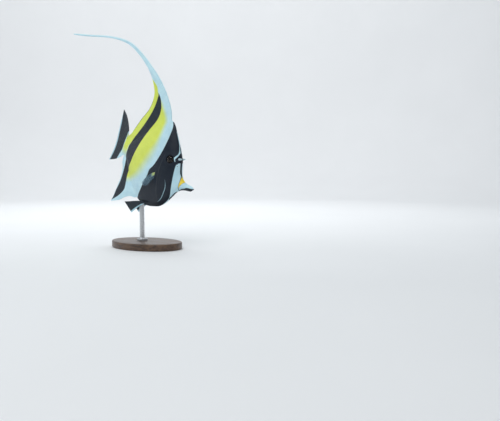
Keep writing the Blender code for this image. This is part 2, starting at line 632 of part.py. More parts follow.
fish = build_fish()
stand_base, stand_rod = build_stand()
for name, colour, roughness, objects in (
        ("head_skin", (0.75, 0.8, 0.8), 0.45, [fish["head"]]),
        ("body_skin", (0.8, 0.82, 0.7), 0.45, [fish["body"]]),
        ("peduncle_skin", (0.85, 0.78, 0.2), 0.45, [fish["peduncle"]]),
        ("dorsal_membrane", (0.8, 0.82, 0.7), 0.5, [fish["dorsal"]]),
        ("filament_white", (0.85, 0.88, 0.9), 0.5, fish["filament"]),
        ("anal_membrane", (0.8, 0.82, 0.7), 0.5, [fish["anal"]]),
        ("caudal_membrane", (0.02, 0.02, 0.03), 0.5, [fish["caudal"]]),
        ("pectoral_membrane", (0.8, 0.8, 0.6), 0.4, fish["pectorals"]),
        ("pelvic_membrane", (0.02, 0.02, 0.03), 0.5, fish["pelvics"]),
        ("eye_glass", (0.03, 0.02, 0.015), 0.05, fish["eyes"]),
        ("horn_bone", (0.6, 0.6, 0.55), 0.5, fish["horns"]),
        ("stand_wood", (0.12, 0.07, 0.04), 0.5, [stand_base]),
        ("stand_steel", (0.45, 0.45, 0.45), 0.35, [stand_rod])):
    for obj in objects:
        obj.data.materials.append(material(name + "_" + obj.name, colour, roughness))
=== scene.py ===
"""Looks of a moorish idol model: one skin, rayed fins, eyes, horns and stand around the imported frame."""
import math
import bpy
import numpy as np
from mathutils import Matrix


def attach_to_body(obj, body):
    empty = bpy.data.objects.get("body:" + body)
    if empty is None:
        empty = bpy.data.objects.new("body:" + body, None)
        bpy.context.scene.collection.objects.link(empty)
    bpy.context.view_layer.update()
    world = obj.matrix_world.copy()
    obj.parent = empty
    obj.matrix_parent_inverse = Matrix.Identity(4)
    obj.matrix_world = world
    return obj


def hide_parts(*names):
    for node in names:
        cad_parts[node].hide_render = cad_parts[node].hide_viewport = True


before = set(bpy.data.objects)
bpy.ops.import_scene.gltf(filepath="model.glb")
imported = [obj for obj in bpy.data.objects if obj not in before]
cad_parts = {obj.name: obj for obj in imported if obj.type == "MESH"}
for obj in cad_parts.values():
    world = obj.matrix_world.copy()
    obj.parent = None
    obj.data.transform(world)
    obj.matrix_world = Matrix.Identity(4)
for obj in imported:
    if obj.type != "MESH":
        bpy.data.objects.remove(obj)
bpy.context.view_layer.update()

# Lengths in metres. Shares are shares of the standard length, snout tip to tail fin base.
STANDARD_LENGTH = 0.150
MM = 1000.0
SHARE_MM = STANDARD_LENGTH * MM
EDGE_HALF = 0.0009
NOSE_DOWN = math.radians(21.5)
TAIL_TURN = math.radians(14.0)
TURN_START = 0.42
TURN_FADE = (0.45, 0.85)
FISH_SHIFT = (-0.050, 0.0, 0.142)
SLOPE_STEP = 0.004
LINE_STEPS = 90
CROWD_STEPS = 4001

# Body from the tail to the snout: edges in the side view, half width and roundness of the sections.
TOP_LINE = (
    (0.0, 0.09), (0.04, 0.099), (0.1, 0.137), (0.2, 0.229), (0.3, 0.325), (0.4, 0.415), (0.48, 0.47),
    (0.54, 0.488), (0.58, 0.462), (0.62, 0.413), (0.67, 0.35), (0.71, 0.293), (0.745, 0.236),
    (0.765, 0.195), (0.779, 0.148), (0.792, 0.105), (0.808, 0.07), (0.83, 0.042), (0.86, 0.022),
    (0.895, 0.01), (0.93, 0.007), (0.952, 0.007), (0.972, 0.003), (0.985, -0.004))
BOTTOM_LINE = (
    (0.0, -0.035), (0.04, -0.044), (0.1, -0.09), (0.2, -0.202), (0.3, -0.3), (0.38, -0.354), (0.46, -0.374),
    (0.54, -0.366), (0.6, -0.346), (0.67, -0.312), (0.73, -0.253), (0.775, -0.183), (0.81, -0.122),
    (0.845, -0.084), (0.885, -0.063), (0.918, -0.053), (0.95, -0.046), (0.969, -0.039), (0.985, -0.02))
HALF_WIDTH = (
    (0.0, 0.014), (0.05, 0.02), (0.1, 0.03), (0.2, 0.05), (0.3, 0.067), (0.4, 0.079), (0.5, 0.087),
    (0.6, 0.089), (0.68, 0.082), (0.74, 0.068), (0.79, 0.052), (0.83, 0.041), (0.875, 0.033),
    (0.92, 0.0265), (0.952, 0.0265), (0.971, 0.0235), (0.985, 0.011))
SECTION_POWER = ((0.0, 1.1), (0.15, 1.5), (0.4, 1.65), (0.6, 1.5), (0.75, 1.1), (0.85, 0.95), (1.0, 0.9))
SNOUT_TIP = 0.985
TAIL_SINK = 0.045
TAIL_THINNING = 0.72
TAIL_THIN_START = 0.01
SNOUT_CLOSING = 0.004
SNOUT_FIRST = 0.2
SNOUT_CLOSED = 0.97

# Mesh of the skin; peaks are (centre, width, gain) where rings or steps crowd.
SKIN_STATIONS = 350
STATION_PEAKS = ((0.685, 0.05, 1.6), (0.768, 0.012, 4.0), (0.90, 0.11, 1.2), (0.965, 0.02, 2.0))
SNOUT_RINGS = 5
SKIN_STEPS = 118
STEP_PEAKS = ((0.54, 0.22, 2.2), (0.82, 0.1, 2.6), (0.0, 0.12, 0.6))
EDGE_STEPS = 4

# Fins in the side view.
DORSAL_BASE = (0.533, 0.01)
DORSAL_LEAD = ((0.533, 0.49), (0.476, 0.592), (0.369, 0.713), (0.227, 0.824), (0.092, 0.901))
DORSAL_CUT = ((0.092, 0.901), (0.07, 0.858))
DORSAL_MARGIN = (
    (0.07, 0.858), (0.14, 0.799), (0.192, 0.735), (0.229, 0.668), (0.236, 0.61), (0.219, 0.519),
    (0.137, 0.375), (0.075, 0.252), (0.044, 0.192), (0.012, 0.163))
DORSAL_REAR = ((0.01, 0.095), (0.004, 0.13), (0.012, 0.163))
DORSAL_CUT_SHARE = 0.06
ANAL_BASE = (0.385, 0.02)
ANAL_LEAD = ((0.385, -0.36), (0.285, -0.374), (0.205, -0.416), (0.142, -0.47), (-0.003, -0.549))
ANAL_MARGIN = (
    (-0.003, -0.549), (0.025, -0.46), (0.046, -0.35), (0.058, -0.234), (0.046, -0.15), (0.022, -0.11))
ANAL_REAR = ((0.02, -0.041), (0.016, -0.078), (0.022, -0.11))
CAUDAL_TOP = (
    (-0.003, 0.088), (-0.001, 0.135), (-0.014, 0.208), (-0.06, 0.277), (-0.122, 0.336), (-0.19, 0.372))
CAUDAL_MARGIN = (
    (-0.19, 0.372), (-0.188, 0.29), (-0.18, 0.16), (-0.181, 0.04), (-0.196, -0.08), (-0.222, -0.178))
CAUDAL_BOTTOM = ((-0.003, -0.033), (-0.025, -0.066), (-0.075, -0.107), (-0.145, -0.145), (-0.222, -0.178))
CAUDAL_SINK = 0.03
FIN_SINK = 0.02
FIN_ROOT_HALF = 0.0008
FIN_FLARE = 0.0006
FIN_FLARE_REACH = 0.05
FIN_EDGE_HALF = 0.00017
FIN_LEAD_HALF = 0.0008
FIN_LEAD_WIDE = 0.05
FIN_LEAD_THINNING = 0.4
FIN_TAPER = 0.6
FIN_ROUND = 0.006
ROUND_LEAST = 0.02
RAY_RISE = 0.00016
RAY_NOTCH = 0.0016
RAY_START = (0.02, 0.25)
RAY_SPLIT = (0.55, 0.9)
NOTCH_START = 0.02
NOTCH_REACH = 0.05
FIN_WAVE = 0.0004
FIN_WAVE_RATES = (9.0, 5.0)
FIN_WAVE_OUT = (0.2, 1.0)
FIN_WAVE_REAR = (0.0, 0.25)
FIN_BLEND = (0.12, 0.5)
CAUDAL_BLEND = (0.15, 0.15)
CAUDAL_ROOT_SHARE = 0.85
FIN_PEAKS = ((0.0, 0.01, 3.0), (1.0, 0.01, 3.0))
RISE_PEAKS = ((0.0, 0.02, 2.0), (1.0, 0.01, 6.0))
STEPS_A_RAY = 6
STEPS_A_WIDE_RAY = 10
DORSAL_ROWS = 96
FIN_ROWS = 80
PAIRED_ROWS = 60
DORSAL_RAYS = 43
ANAL_RAYS = 34
CAUDAL_RAYS = 17
PECTORAL_RAYS = 18
PELVIC_RAYS = 6

# Filament: a strap along the dorsal fin's leading ray that goes on past its peak.
FILAMENT_PATH = (
    (0.362, 0.7055), (0.2175, 0.811), (0.081, 0.8795), (0.015, 0.917), (-0.072, 0.959), (-0.15, 0.991),
    (-0.225, 1.011), (-0.31, 1.018), (-0.42, 1.012), (-0.536, 0.994), (-0.66, 0.965), (-0.79, 0.935),
    (-0.93, 0.907))
FILAMENT_ROOT_POINTS = 2
FILAMENT_SWAY = 0.10
FILAMENT_WIDE = (
    (-0.316, 0.0013), (-0.145, 0.0025), (0.0, 0.0036), (0.12, 0.0029), (0.3, 0.0022), (0.5, 0.0015),
    (0.8, 0.0013), (0.93, 0.0012), (1.0, 0.0008))
FILAMENT_THICK = (
    (-0.316, 0.0002), (-0.145, 0.0006), (0.0, 0.0007), (0.15, 0.0008), (0.4, 0.0009), (0.8, 0.0008),
    (1.0, 0.0004))
FILAMENT_STATIONS = 240
FILAMENT_SIDES = 28
FILAMENT_ROUND = (0.02, 0.004)
FILAMENT_GROOVE = (0.16, 0.35, 0.12)
FILAMENT_RUN = 100.0

# Head.
EYE_AT = (0.685, 0.166)
EYE_RADIUS = 0.0054
EYE_DEPTH = 0.0032
EYE_SINK = 0.0020
PUPIL_SHARE = 0.42
IRIS_DISH = 0.0005
IRIS_EDGE = (0.3, 0.88)
CORNEA_LIFT = 0.0003
CORNEA_INSET = 0.0001
DOME_POLE = 0.012
DOME_RINGS = 72
DOME_SIDES = 64
DOME_PEAKS = ((0.6, 0.5, 1.0),)
BEHIND_SHARE = 1.2
HORN_AT = (0.757, 0.191)
HORN_AIM = (1.0, 0.35)
HORN_LEAN = (0.55, 0.83)
HORN_LENGTH = 0.0036
HORN_RADIUS = 0.0016
HORN_SINK = 0.0004
HORN_TAPER = 0.42
HORN_RINGS = 44
HORN_SIDES = 36
HORN_END = 0.995
HORN_SIGHT = 0.01
HORN_GROWTH = (0.03, 40.0)
NOSTRILS = ((0.768, 0.128), (0.762, 0.145))
MOUTH_LINE = ((0.944, -0.0155), (0.97, -0.0105), (0.995, -0.0085))
HEAD_REAR = 0.615
GILL_BULGE = 0.055
PREOPERCLE = ((0.665, 0.1), (0.652, 0.0), (0.66, -0.11), (0.70, -0.185), (0.77, -0.15))
LATERAL_LINE = ((0.60, 0.2), (0.5, 0.285), (0.4, 0.29), (0.25, 0.2), (0.1, 0.08), (0.0, 0.03))

# Relief of the skin in millimetres: a swell is (height, distance of its crest, width).
LID_SWELL = (0.42, 5.75, 0.42)
ORBIT_SWELL = (0.3, 7.2, 1.5)
SOCKET_DEPTH = 2.7
SOCKET_WALL = (-0.4, 0.12)
FLANK_START = (1.2, 2.4)
GILL_RISE = 0.55
GILL_REACH = 0.03
GILL_EDGE = (-0.006, 0.001)
GILL_SPAN = (-0.85, -0.6, 0.3, 0.55)
BONE_SWELL = (0.22, 0.0, 0.8)
SENSE_SWELL = (0.07, 0.0, 0.35)
SENSE_START = (0.0, 0.05)
LIP_SWELLS = ((0.2, 0.75, 0.45), (0.2, -0.75, 0.45))
LIP_START = (0.945, 0.97)
MOUTH_GROOVE = (0.55, 0.0, 0.22)
MOUTH_CORNER = (0.938, 0.956)
NOSTRIL_DEPTH = 0.5
NOSTRIL_WALL = (0.2, 0.55)
NOSTRIL_RIM = (0.1, 0.8, 0.25)
HORN_SWELL = (0.4, 0.0, 1.8)
PADDLE_SWELL = (0.5, 0.0, 1.3)
RIB_SWELL = (0.05, 1.5, 2.5)
DORSAL_RIBS_END = (0.5, 0.54)
ANAL_RIBS_END = (0.36, 0.4)

# Side and belly fins: first and last ray at the root, at the bend and at the tip.
PECTORAL_ROOT = ((0.588, 0.004), (0.58, -0.052))
PECTORAL_REACH = 0.030
PECTORAL_BULGE = 0.003
PECTORAL_KNEE = ((0.38, 0.12, 0.2), (0.04, 0.14, 0.2))
PECTORAL_TIP = ((0.53, 0.24, 0.74), (0.05, 0.25, 0.40))
PELVIC_ROOT = ((0.575, -0.312), (0.548, -0.326))
PELVIC_KNEE = ((0.488, 0.04, -0.345), (0.44, 0.04, -0.352))
PELVIC_TIP = ((0.396, 0.05, -0.498), (0.262, 0.046, -0.438))
PAIRED_ROOT_HALF = 0.0006
PAIRED_TIP_HALF = 0.00012
PAIRED_TAPER = 0.5
PAIRED_SINK = 0.0012
PAIRED_ROUND = 0.02
PAIRED_TIP_ROUND = 0.01
PAIRED_RAY_START = (0.05, 0.3)
PAIRED_RAY_THINNING = 0.5
PAIRED_SHADE_START = (0.02, 0.2)

# Markings: each edge is a line of share along read at shares up.
BAND_ONE_REAR = (
    (-0.344, 0.38), (-0.302, 0.396), (-0.251, 0.418), (-0.153, 0.454), (-0.057, 0.487), (-0.01, 0.495),
    (0.04, 0.528), (0.133, 0.565), (0.218, 0.584), (0.299, 0.59), (0.377, 0.586), (0.45, 0.569),
    (0.491, 0.544))
BAND_ONE_FRONT = (
    (-0.3, 0.69), (-0.229, 0.742), (-0.19, 0.763), (-0.144, 0.774), (-0.102, 0.776), (-0.024, 0.772),
    (0.052, 0.764), (0.108, 0.758), (0.134, 0.757), (0.15, 0.762), (0.162, 0.775), (0.172, 0.8),
    (0.18, 0.9))
BAND_TWO_FRONT = (
    (-0.55, -0.02), (-0.496, 0.045), (-0.42, 0.119), (-0.35, 0.162), (-0.275, 0.162), (-0.2, 0.155),
    (-0.12, 0.168), (-0.047, 0.198), (0.044, 0.221), (0.135, 0.244), (0.224, 0.266), (0.315, 0.293),
    (0.365, 0.32), (0.43, 0.354), (0.5, 0.37), (0.56, 0.364), (0.608, 0.343), (0.65, 0.312), (0.69, 0.262))
BAND_TWO_REAR = (
    (-0.55, -0.03), (-0.5, -0.002), (-0.45, 0.023), (-0.38, 0.049), (-0.311, 0.067), (-0.222, 0.075),
    (-0.134, 0.077), (-0.053, 0.07), (0.035, 0.079), (0.121, 0.086), (0.171, 0.108), (0.223, 0.138),
    (0.323, 0.194), (0.418, 0.238), (0.507, 0.27), (0.56, 0.281), (0.629, 0.286), (0.668, 0.283),
    (0.69, 0.265))
PEAK_GOLD = (
    (0.66, 0.283), (0.69, 0.268), (0.716, 0.252), (0.735, 0.233), (0.752, 0.205), (0.768, 0.177),
    (0.785, 0.145), (0.83, 0.05))
GOLD_FRONT = (
    (-0.3, 0.09), (-0.226, 0.198), (-0.152, 0.302), (-0.061, 0.375), (0.013, 0.41), (0.086, 0.443),
    (0.155, 0.465), (0.22, 0.482), (0.282, 0.489), (0.341, 0.488), (0.398, 0.482), (0.448, 0.474),
    (0.482, 0.461), (0.529, 0.426), (0.573, 0.383), (0.62, 0.33), (0.66, 0.25), (0.7, 0.16), (0.74, 0.07))
SADDLE_REAR = (
    (-0.06, 0.8442), (-0.0547, 0.8437), (-0.0403, 0.8427), (-0.0206, 0.8423), (-0.0014, 0.841),
    (0.019, 0.8359), (0.0379, 0.8284), (0.0535, 0.8192), (0.062, 0.813))
SADDLE_FRONT = (
    (-0.06, 0.8445), (-0.0487, 0.8485), (-0.0359, 0.8536), (-0.0222, 0.8597), (-0.0102, 0.8652),
    (0.0018, 0.871), (0.0126, 0.8761), (0.0178, 0.877))
CHIN_TOP = (
    (0.78, -0.165), (0.815, -0.12), (0.846, -0.078), (0.876, -0.052), (0.9087, -0.0335), (0.9285, -0.0194),
    (0.951, -0.0143), (0.97, -0.0104), (1.0, -0.007))
BROW_LINE = (
    (0.62, 0.413), (0.66, 0.363), (0.69, 0.3215), (0.701, 0.303), (0.71, 0.287), (0.719, 0.2705),
    (0.7275, 0.2545), (0.7335, 0.2365), (0.7325, 0.2185), (0.727, 0.2025), (0.722, 0.189))
EYE_STROKE = ((0.718, 0.189), (0.727, 0.175), (0.737, 0.161))
CHEEK_LINE = (
    (0.682, 0.0), (0.701, -0.031), (0.718, -0.078), (0.72, -0.11), (0.712, -0.157), (0.695, -0.215),
    (0.665, -0.262), (0.64, -0.285))
CAUDAL_DARK = (
    (-0.2, -0.12), (-0.1, -0.085), (-0.061, -0.068), (-0.008, -0.042), (0.037, -0.033), (0.08, -0.03),
    (0.126, -0.022), (0.17, -0.014), (0.25, -0.005), (0.36, 0.0))

# Widths of markings in millimetres, and the shares along, up or of a line where they start and end.
NO_MARK = -5.0
BAND_ONE_TOP = 0.5
SADDLE_HEM_REAR = 0.28
SADDLE_HEM_FRONT = 0.12
SADDLE_HEM_MEET = 0.3
STRIPE_HALF = 2.4
STRIPE_INSET = 0.4
STRIPE_SPAN = (0.745, 0.768, 0.8, 0.84)
CHIN_START = 0.812
NOSTRIL_DARK = 0.45
NOSTRIL_CRISPNESS = 3.0
BROW_HALF = 0.14
BROW_SWELLS = ((0.16, 0.0, 0.3), (0.35, 0.65, 0.8), (0.5, 0.8, 0.95))
STROKE_HALF = 0.9
STROKE_THINNING = 0.6
CHEEK_HALF = 0.62
CHEEK_INSET = 0.1
CHEEK_START = 0.07
CHEEK_TAPER = 0.35
CHEEK_DIM = 0.12
TAIL_LINE_HALF = 0.35
TAIL_LINE_BACK = 0.1
REAR_LINE_HALF = 0.4
REAR_LINE_BACK = 0.9
REAR_LINE_FADING = 2.0
REAR_LINE_TOP = (0.08, 0.16)
REAR_LINE_EDGE = (-0.3, 0.2)
GOLD_SOFT = 0.038
GOLD_SOFTER_BELOW = (0.1, 0.35)
GOLD_BOTTOM = (-0.3, -0.2)
STRIP_BOTTOM = (-0.06, 0.06)
PEAK_EDGE = (-0.6, 0.5)
PEAK_START = (0.64, 0.7)
TAIL_GOLD_END = (-1.6, -0.7)
DORSAL_HEM = 1.3
DORSAL_HEM_SPAN = (0.2, 0.3, 0.56, 0.62)
DORSAL_HEM_START = (0.1, 0.2)
ANAL_HEM = 1.1
ANAL_HEM_START = (0.0, 0.1)
CAUDAL_HEM = 2.5
CAUDAL_HEM_START = (0.02, 0.25)
PELVIC_LEAD = 1.0
PELVIC_LEAD_NARROWING = (3.0, 5.0)
PELVIC_LEAD_LACK = 2.0
PELVIC_LEAD_START = (0.3, 0.5)

# Side fin: share of yellow near its root, and how solid its membrane is out to the tips.
PECTORAL_GOLD = 0.8
PECTORAL_GOLD_SPAN = (0.02, 0.1, 0.22, 0.42)
PECTORAL_GOLD_BELOW = (0.35, 0.65)
PECTORAL_BODY = 0.34
PECTORAL_RAY_BODY = 0.32
PECTORAL_ROOT_BODY = 0.3
PECTORAL_ROOT_SPAN = (0.0, 0.12)
PECTORAL_LOW_THINNING = 0.12
PECTORAL_LOW_SPAN = (0.45, 0.85)
PECTORAL_TIP_THINNING = 0.12
PECTORAL_TIP_SPAN = (0.6, 1.0)

# Materials: sizes of their patterns, then colours. A noise's values mostly lie within its middle.
NOISE_MIDDLE = (0.3, 0.7)
NOISE_ROUGHNESS = 0.55
SCALE_CELLS = 2100.0
JOINT_RATE = 9.0
MEMBRANE_RUN = (0.5, 14.0, 0.08, 0.3)
IRIS_SPOKES = 46.0
PUPIL_SOFT = 0.02
IRIS_RIM_WIDE = 0.07
IRIS_OUTER_SPAN = (0.84, 0.95)
WOOD_GRAIN = (30.0, 240.0, 240.0)
STEEL_RINGS = (60.0, 60.0, 5200.0)
WHITE = (0.60, 0.84, 0.92)
WHITE_DEEP = (0.38, 0.66, 0.80)
YELLOW = (0.74, 0.84, 0.12)
YELLOW_DEEP = (0.68, 0.78, 0.1)
BLACK = (0.003, 0.007, 0.018)
BLACK_WARM = (0.007, 0.012, 0.022)
SADDLE = (0.95, 0.72, 0.05)
PALE_LINE = (0.42, 0.66, 0.76)
DUSK = (0.09, 0.18, 0.25)
SCALE_SHADE = (0.02, 0.05, 0.07)
MEMBRANE_SHADE = (0.05, 0.11, 0.12)
IRIS_DARK = (0.006, 0.004, 0.003)
IRIS_BROWN = (0.022, 0.013, 0.007)
IRIS_RIM = (0.035, 0.027, 0.016)
IRIS_OUTER = (0.006, 0.007, 0.009)
PUPIL = (0.002, 0.002, 0.003)
BONE = (0.50, 0.66, 0.72)
BONE_DEEP = (0.34, 0.47, 0.53)
HORN_ROOT = (0.03, 0.04, 0.05)
WOOD_DARK = (0.045, 0.022, 0.012)
WOOD_LIGHT = (0.13, 0.07, 0.035)
WOOD_PORE = (0.02, 0.01, 0.006)
STEEL_DARK = (0.48, 0.49, 0.50)
STEEL_LIGHT = (0.62, 0.63, 0.64)
PAINT_DARK = (0.74, 0.75, 0.76)
PAINT_LIGHT = (0.79, 0.80, 0.81)
SKY = (0.86, 0.93, 1.0, 1.0)
SKY_STRENGTH = 0.36

# Studio in metres: camera, lights as (name, place, size, power, colour, aim) and the floor.
CAMERA_LENS = 40.0
CAMERA_AT = (0.5599, -0.5996, 0.1105)
CAMERA_TURN = 32.43
CAMERA_TILT = 86.0
CAMERA_NEAR = 0.01
FISH_MIDDLE = (0.0, 0.0, 0.18)
LIGHTS = (("key_light", (0.35, -0.9, 1.25), 0.9, 9.0, (1.0, 0.99, 0.97), FISH_MIDDLE),
          ("top_light", (-0.35, 0.25, 1.3), 1.0, 8.0, (0.94, 0.98, 1.0), FISH_MIDDLE),
          ("fill_light", (-1.1, -0.7, 0.5), 0.9, 2.5, (0.93, 0.97, 1.0), FISH_MIDDLE),
          ("backdrop_light", (-0.5, 0.5, 1.6), 1.5, 22.0, (1.0, 1.0, 1.0), (-1.2, 2.2, 0.6)))
FLOOR_HUB = 0.02
FLOOR_FLAT = 1.5
FLOOR_BEND = 0.9
FLOOR_BEND_FIRST = 0.05
BACKDROP = (1.0, 1.8)
FLOOR_RINGS = (20, 24, 6)
FLOOR_SIDES = 96


def smooth_line(pairs, where):
    """Smooth curve through pairs of share and value, read at any shares."""
    table = np.array(pairs, float)
    xs, ys = table[:, 0], table[:, 1:]
    slopes = np.gradient(ys, xs, axis=0)
    where = np.clip(np.asarray(where, float), xs[0], xs[-1])
    k = np.clip(np.searchsorted(xs, where, side="right") - 1, 0, len(xs) - 2)
    step = xs[k + 1] - xs[k]
    t = ((where - xs[k]) / step)[..., None]
    step = step[..., None]
    value = ((1 + 2 * t) * (1 - t) ** 2 * ys[k] + t * (1 - t) ** 2 * step * slopes[k]
             + t * t * (3 - 2 * t) * ys[k + 1] + t * t * (t - 1) * step * slopes[k + 1])
    return value[..., 0] if value.shape[-1] == 1 else value


def lengths_along(points):
    """Length of a line of points up to each of them."""
    return np.concatenate([[0.0], np.cumsum(np.linalg.norm(np.diff(points, axis=0), axis=1))])


def trace(points, shares):
    """Points at shares of the length of a smooth line through a few points."""
    knots = lengths_along(points)
    return smooth_line(np.column_stack([knots / knots[-1], points]), shares)


def fade(value, start, end):
    """Smooth change from 0 at start to 1 at end."""
    t = np.clip((value - start) / (end - start), 0.0, 1.0)
    return t * t * (3 - 2 * t)


def window(value, start, full, ebb, end):
    """Smooth rise from 0 at start to 1 at full, and fall from ebb to 0 at end."""
    return fade(value, start, full) * (1 - fade(value, ebb, end))


def bump(value, centre, width):
    """Bell curve of height 1."""
    return np.exp(-((value - centre) / width) ** 2)


def swell(distance, shape):
    """Bell curve of a given height, crest and width over a distance."""
    height, centre, width = shape
    return height * bump(distance, centre, width)


def unit(vectors):
    """Directions scaled to length 1."""
    return vectors / np.linalg.norm(vectors, axis=-1, keepdims=True)


def place(along, side, up):
    """World points from shares along and up and metres to the fish's right, with the tail's turn."""
    along, side, up = np.broadcast_arrays(np.asarray(along, float), side, up)
    back = np.clip(TURN_START - along, 0.0, None)
    inside = np.minimum(back, TURN_START)
    bow = math.tan(TAIL_TURN) * (inside ** 2 / (2 * TURN_START) + back - inside)
    bow = bow * (1 - fade(up, *TURN_FADE))
    x = along * STANDARD_LENGTH
    y = bow * STANDARD_LENGTH - side
    z = up * STANDARD_LENGTH
    cos, sin = math.cos(NOSE_DOWN), math.sin(NOSE_DOWN)
    return np.stack([x * cos + z * sin + FISH_SHIFT[0], y + FISH_SHIFT[1],
                     -x * sin + z * cos + FISH_SHIFT[2]], -1)


def half_at(along, height):
    """Half width of the body in metres, from its share along and height share -1 to 1."""
    width = smooth_line(HALF_WIDTH, along) * STANDARD_LENGTH
    power = smooth_line(SECTION_POWER, along)
    inner = np.clip(1 - height ** 2, 0.0, 1.0) ** (power / 2)
    return np.sqrt((width * inner) ** 2 + EDGE_HALF ** 2)


def height_share(along, up):
    """Height share -1 to 1 of a point of the side view."""
    top = smooth_line(TOP_LINE, along)
    bottom = smooth_line(BOTTOM_LINE, along)
    return (2 * up - top - bottom) / (top - bottom)


def skin_side(along, up, side):
    """Point on the body's side, from its shares along and up; side is 1 for the fish's right."""
    along, up = np.asarray(along, float), np.asarray(up, float)
    return place(along, side * half_at(along, np.clip(height_share(along, up), -1, 1)), up)


def skin_point(along, up, side, lift=0.0):
    """Point on the body's side, lifted off it along its normal."""
    here = skin_side(along, up, side)
    ahead = skin_side(along + SLOPE_STEP, up, side) - here
    above = skin_side(along, up + SLOPE_STEP, side) - here
    return here + unit(np.cross(ahead, above) * side) * lift


def crowd(start, end, count, peaks):
    """Shares from start to end, closer together around each peak of (centre, width, gain)."""
    fine = np.linspace(start, end, CROWD_STEPS)
    weight = np.ones_like(fine)
    for centre, width, gain in peaks:
        weight = weight + gain * bump(fine, centre, width)
    total = np.concatenate([[0.0], np.cumsum((weight[1:] + weight[:-1]) / 2)])
    return np.interp(np.linspace(0, total[-1], count), total, fine)


def line_gap(along, up, points):
    """Millimetres from points of the side view to a smooth line, and the share along that line."""
    shares = np.linspace(0, 1, LINE_STEPS)
    line = trace(points, shares)
    away = np.hypot(along[..., None] - line[:, 0], up[..., None] - line[:, 1])
    nearest = away.argmin(-1)
    return np.take_along_axis(away, nearest[..., None], -1)[..., 0] * SHARE_MM, shares[nearest]


def spot_gap(along, up, spot):
    """Millimetres from points of the side view to one spot."""
    return np.hypot(along - spot[0], up - spot[1]) * SHARE_MM


def edge_gap(table, along, up):
    """Millimetres by which a point lies ahead of an edge, measured across that edge."""
    here = smooth_line(table, up)
    slope = (smooth_line(table, up + SLOPE_STEP) - smooth_line(table, up - SLOPE_STEP)) / (2 * SLOPE_STEP)
    return (along - here) * SHARE_MM / np.sqrt(1 + slope ** 2)


def in_band(rear, front, along, up):
    """Millimetres inside a band between its rear and front edges, below 0 outside."""
    return np.minimum(edge_gap(rear, along, up), -edge_gap(front, along, up))


def joined(right, left):
    """Rings that run over a piece's right side and back over its left side."""
    return np.concatenate([right, left[:, ::-1]], 1)


def mirrored(grid):
    """Rings of what is the same on both sides of a piece."""
    return joined(grid, grid)


def around(count):
    """Angles spaced evenly round a ring."""
    return (np.arange(count) + 0.5) / count * 2 * math.pi


def closed_grid(name, rings, marks):
    """Closed mesh through rings of points: quads between rings, and a zip of quads over each end ring."""
    rows, sides = rings.shape[:2]
    index = np.arange(rows * sides).reshape(rows, sides)
    turned = np.roll(index, -1, axis=1)
    walls = np.stack([index[:-1], index[1:], turned[1:], turned[:-1]], -1).reshape(-1, 4)
    k = np.arange(sides // 2 - 1)
    zip_order = np.column_stack([k, k + 1, sides - 2 - k, sides - 1 - k])
    first, last = index[0][zip_order], index[-1][zip_order[:, ::-1]]
    quads = np.concatenate([walls, first, last])
    points = rings.reshape(-1, 3)
    corners = points[quads] - points.mean(0)
    volume = (np.cross(corners[:, 0], corners[:, 1]) * corners[:, 2]
              + np.cross(corners[:, 0], corners[:, 2]) * corners[:, 3]).sum()
    if volume < 0:
        quads = quads[:, ::-1]
    mesh = bpy.data.meshes.new(name)
    mesh.from_pydata(points.tolist(), [], quads.tolist())
    for mark, values in marks.items():
        values = np.broadcast_to(values, rings.shape[:2])
        attribute = mesh.attributes.new(mark, "FLOAT", "POINT")
        attribute.data.foreach_set("value", values.ravel().astype(np.float32))
    mesh.shade_smooth()
    obj = bpy.data.objects.new(name, mesh)
    bpy.context.scene.collection.objects.link(obj)
    return obj


def attach(obj, surface, slot, *nodes):
    """Give a piece its material and body, and hide the CAD nodes that it stands for; slot is not used."""
    obj.data.materials.append(surface)
    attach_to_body(obj, "root")
    if nodes:
        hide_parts(*nodes)


def dark_marks(along, up, side, tail):
    """Millimetres inside the black marks: bands, saddle's hem, brow stripe, chin, tail and nostrils."""
    band_one = np.where(up > BAND_ONE_TOP, NO_MARK, in_band(BAND_ONE_REAR, BAND_ONE_FRONT, along, up))
    band_two = in_band(BAND_TWO_REAR, BAND_TWO_FRONT, along, up)
    rear, front = edge_gap(SADDLE_REAR, along, up), -edge_gap(SADDLE_FRONT, along, up)
    hem = np.maximum(
        np.minimum(SADDLE_HEM_REAR - np.abs(rear + SADDLE_HEM_REAR), front + SADDLE_HEM_MEET),
        np.minimum(SADDLE_HEM_FRONT - np.abs(front + SADDLE_HEM_FRONT), rear + SADDLE_HEM_MEET))
    stripe = STRIPE_HALF * window(along, *STRIPE_SPAN) - STRIPE_INSET - np.abs(side) * MM
    chin = np.minimum(smooth_line(CHIN_TOP, along) - up, along - CHIN_START) * SHARE_MM
    holes = [NOSTRIL_CRISPNESS * (NOSTRIL_DARK - spot_gap(along, up, spot)) for spot in NOSTRILS]
    return np.maximum.reduce([band_one, band_two, hem, stripe, chin, tail, *holes])


def bare_lines(along, up):
    """Millimetres inside the white brow line and the hook before the eye."""
    brow, share = line_gap(along, up, BROW_LINE)
    half = BROW_HALF + sum(gain * fade(share, start, end) for gain, start, end in BROW_SWELLS)
    stroke, stroke_share = line_gap(along, up, EYE_STROKE)
    return np.maximum(half - brow, STROKE_HALF - STROKE_THINNING * stroke_share - stroke)


def pale_lines(along, up, tail):
    """Millimetres inside the dim line on the cheek and the line at the tail fin's base."""
    cheek, share = line_gap(along, up, CHEEK_LINE)
    seen = np.clip((share - CHEEK_START) / (1 - CHEEK_START), 0, 1)
    half = CHEEK_HALF * np.sin(math.pi * seen) ** CHEEK_TAPER - CHEEK_INSET
    return np.maximum(np.minimum(half - cheek, CHEEK_DIM), TAIL_LINE_HALF - np.abs(tail + TAIL_LINE_BACK))


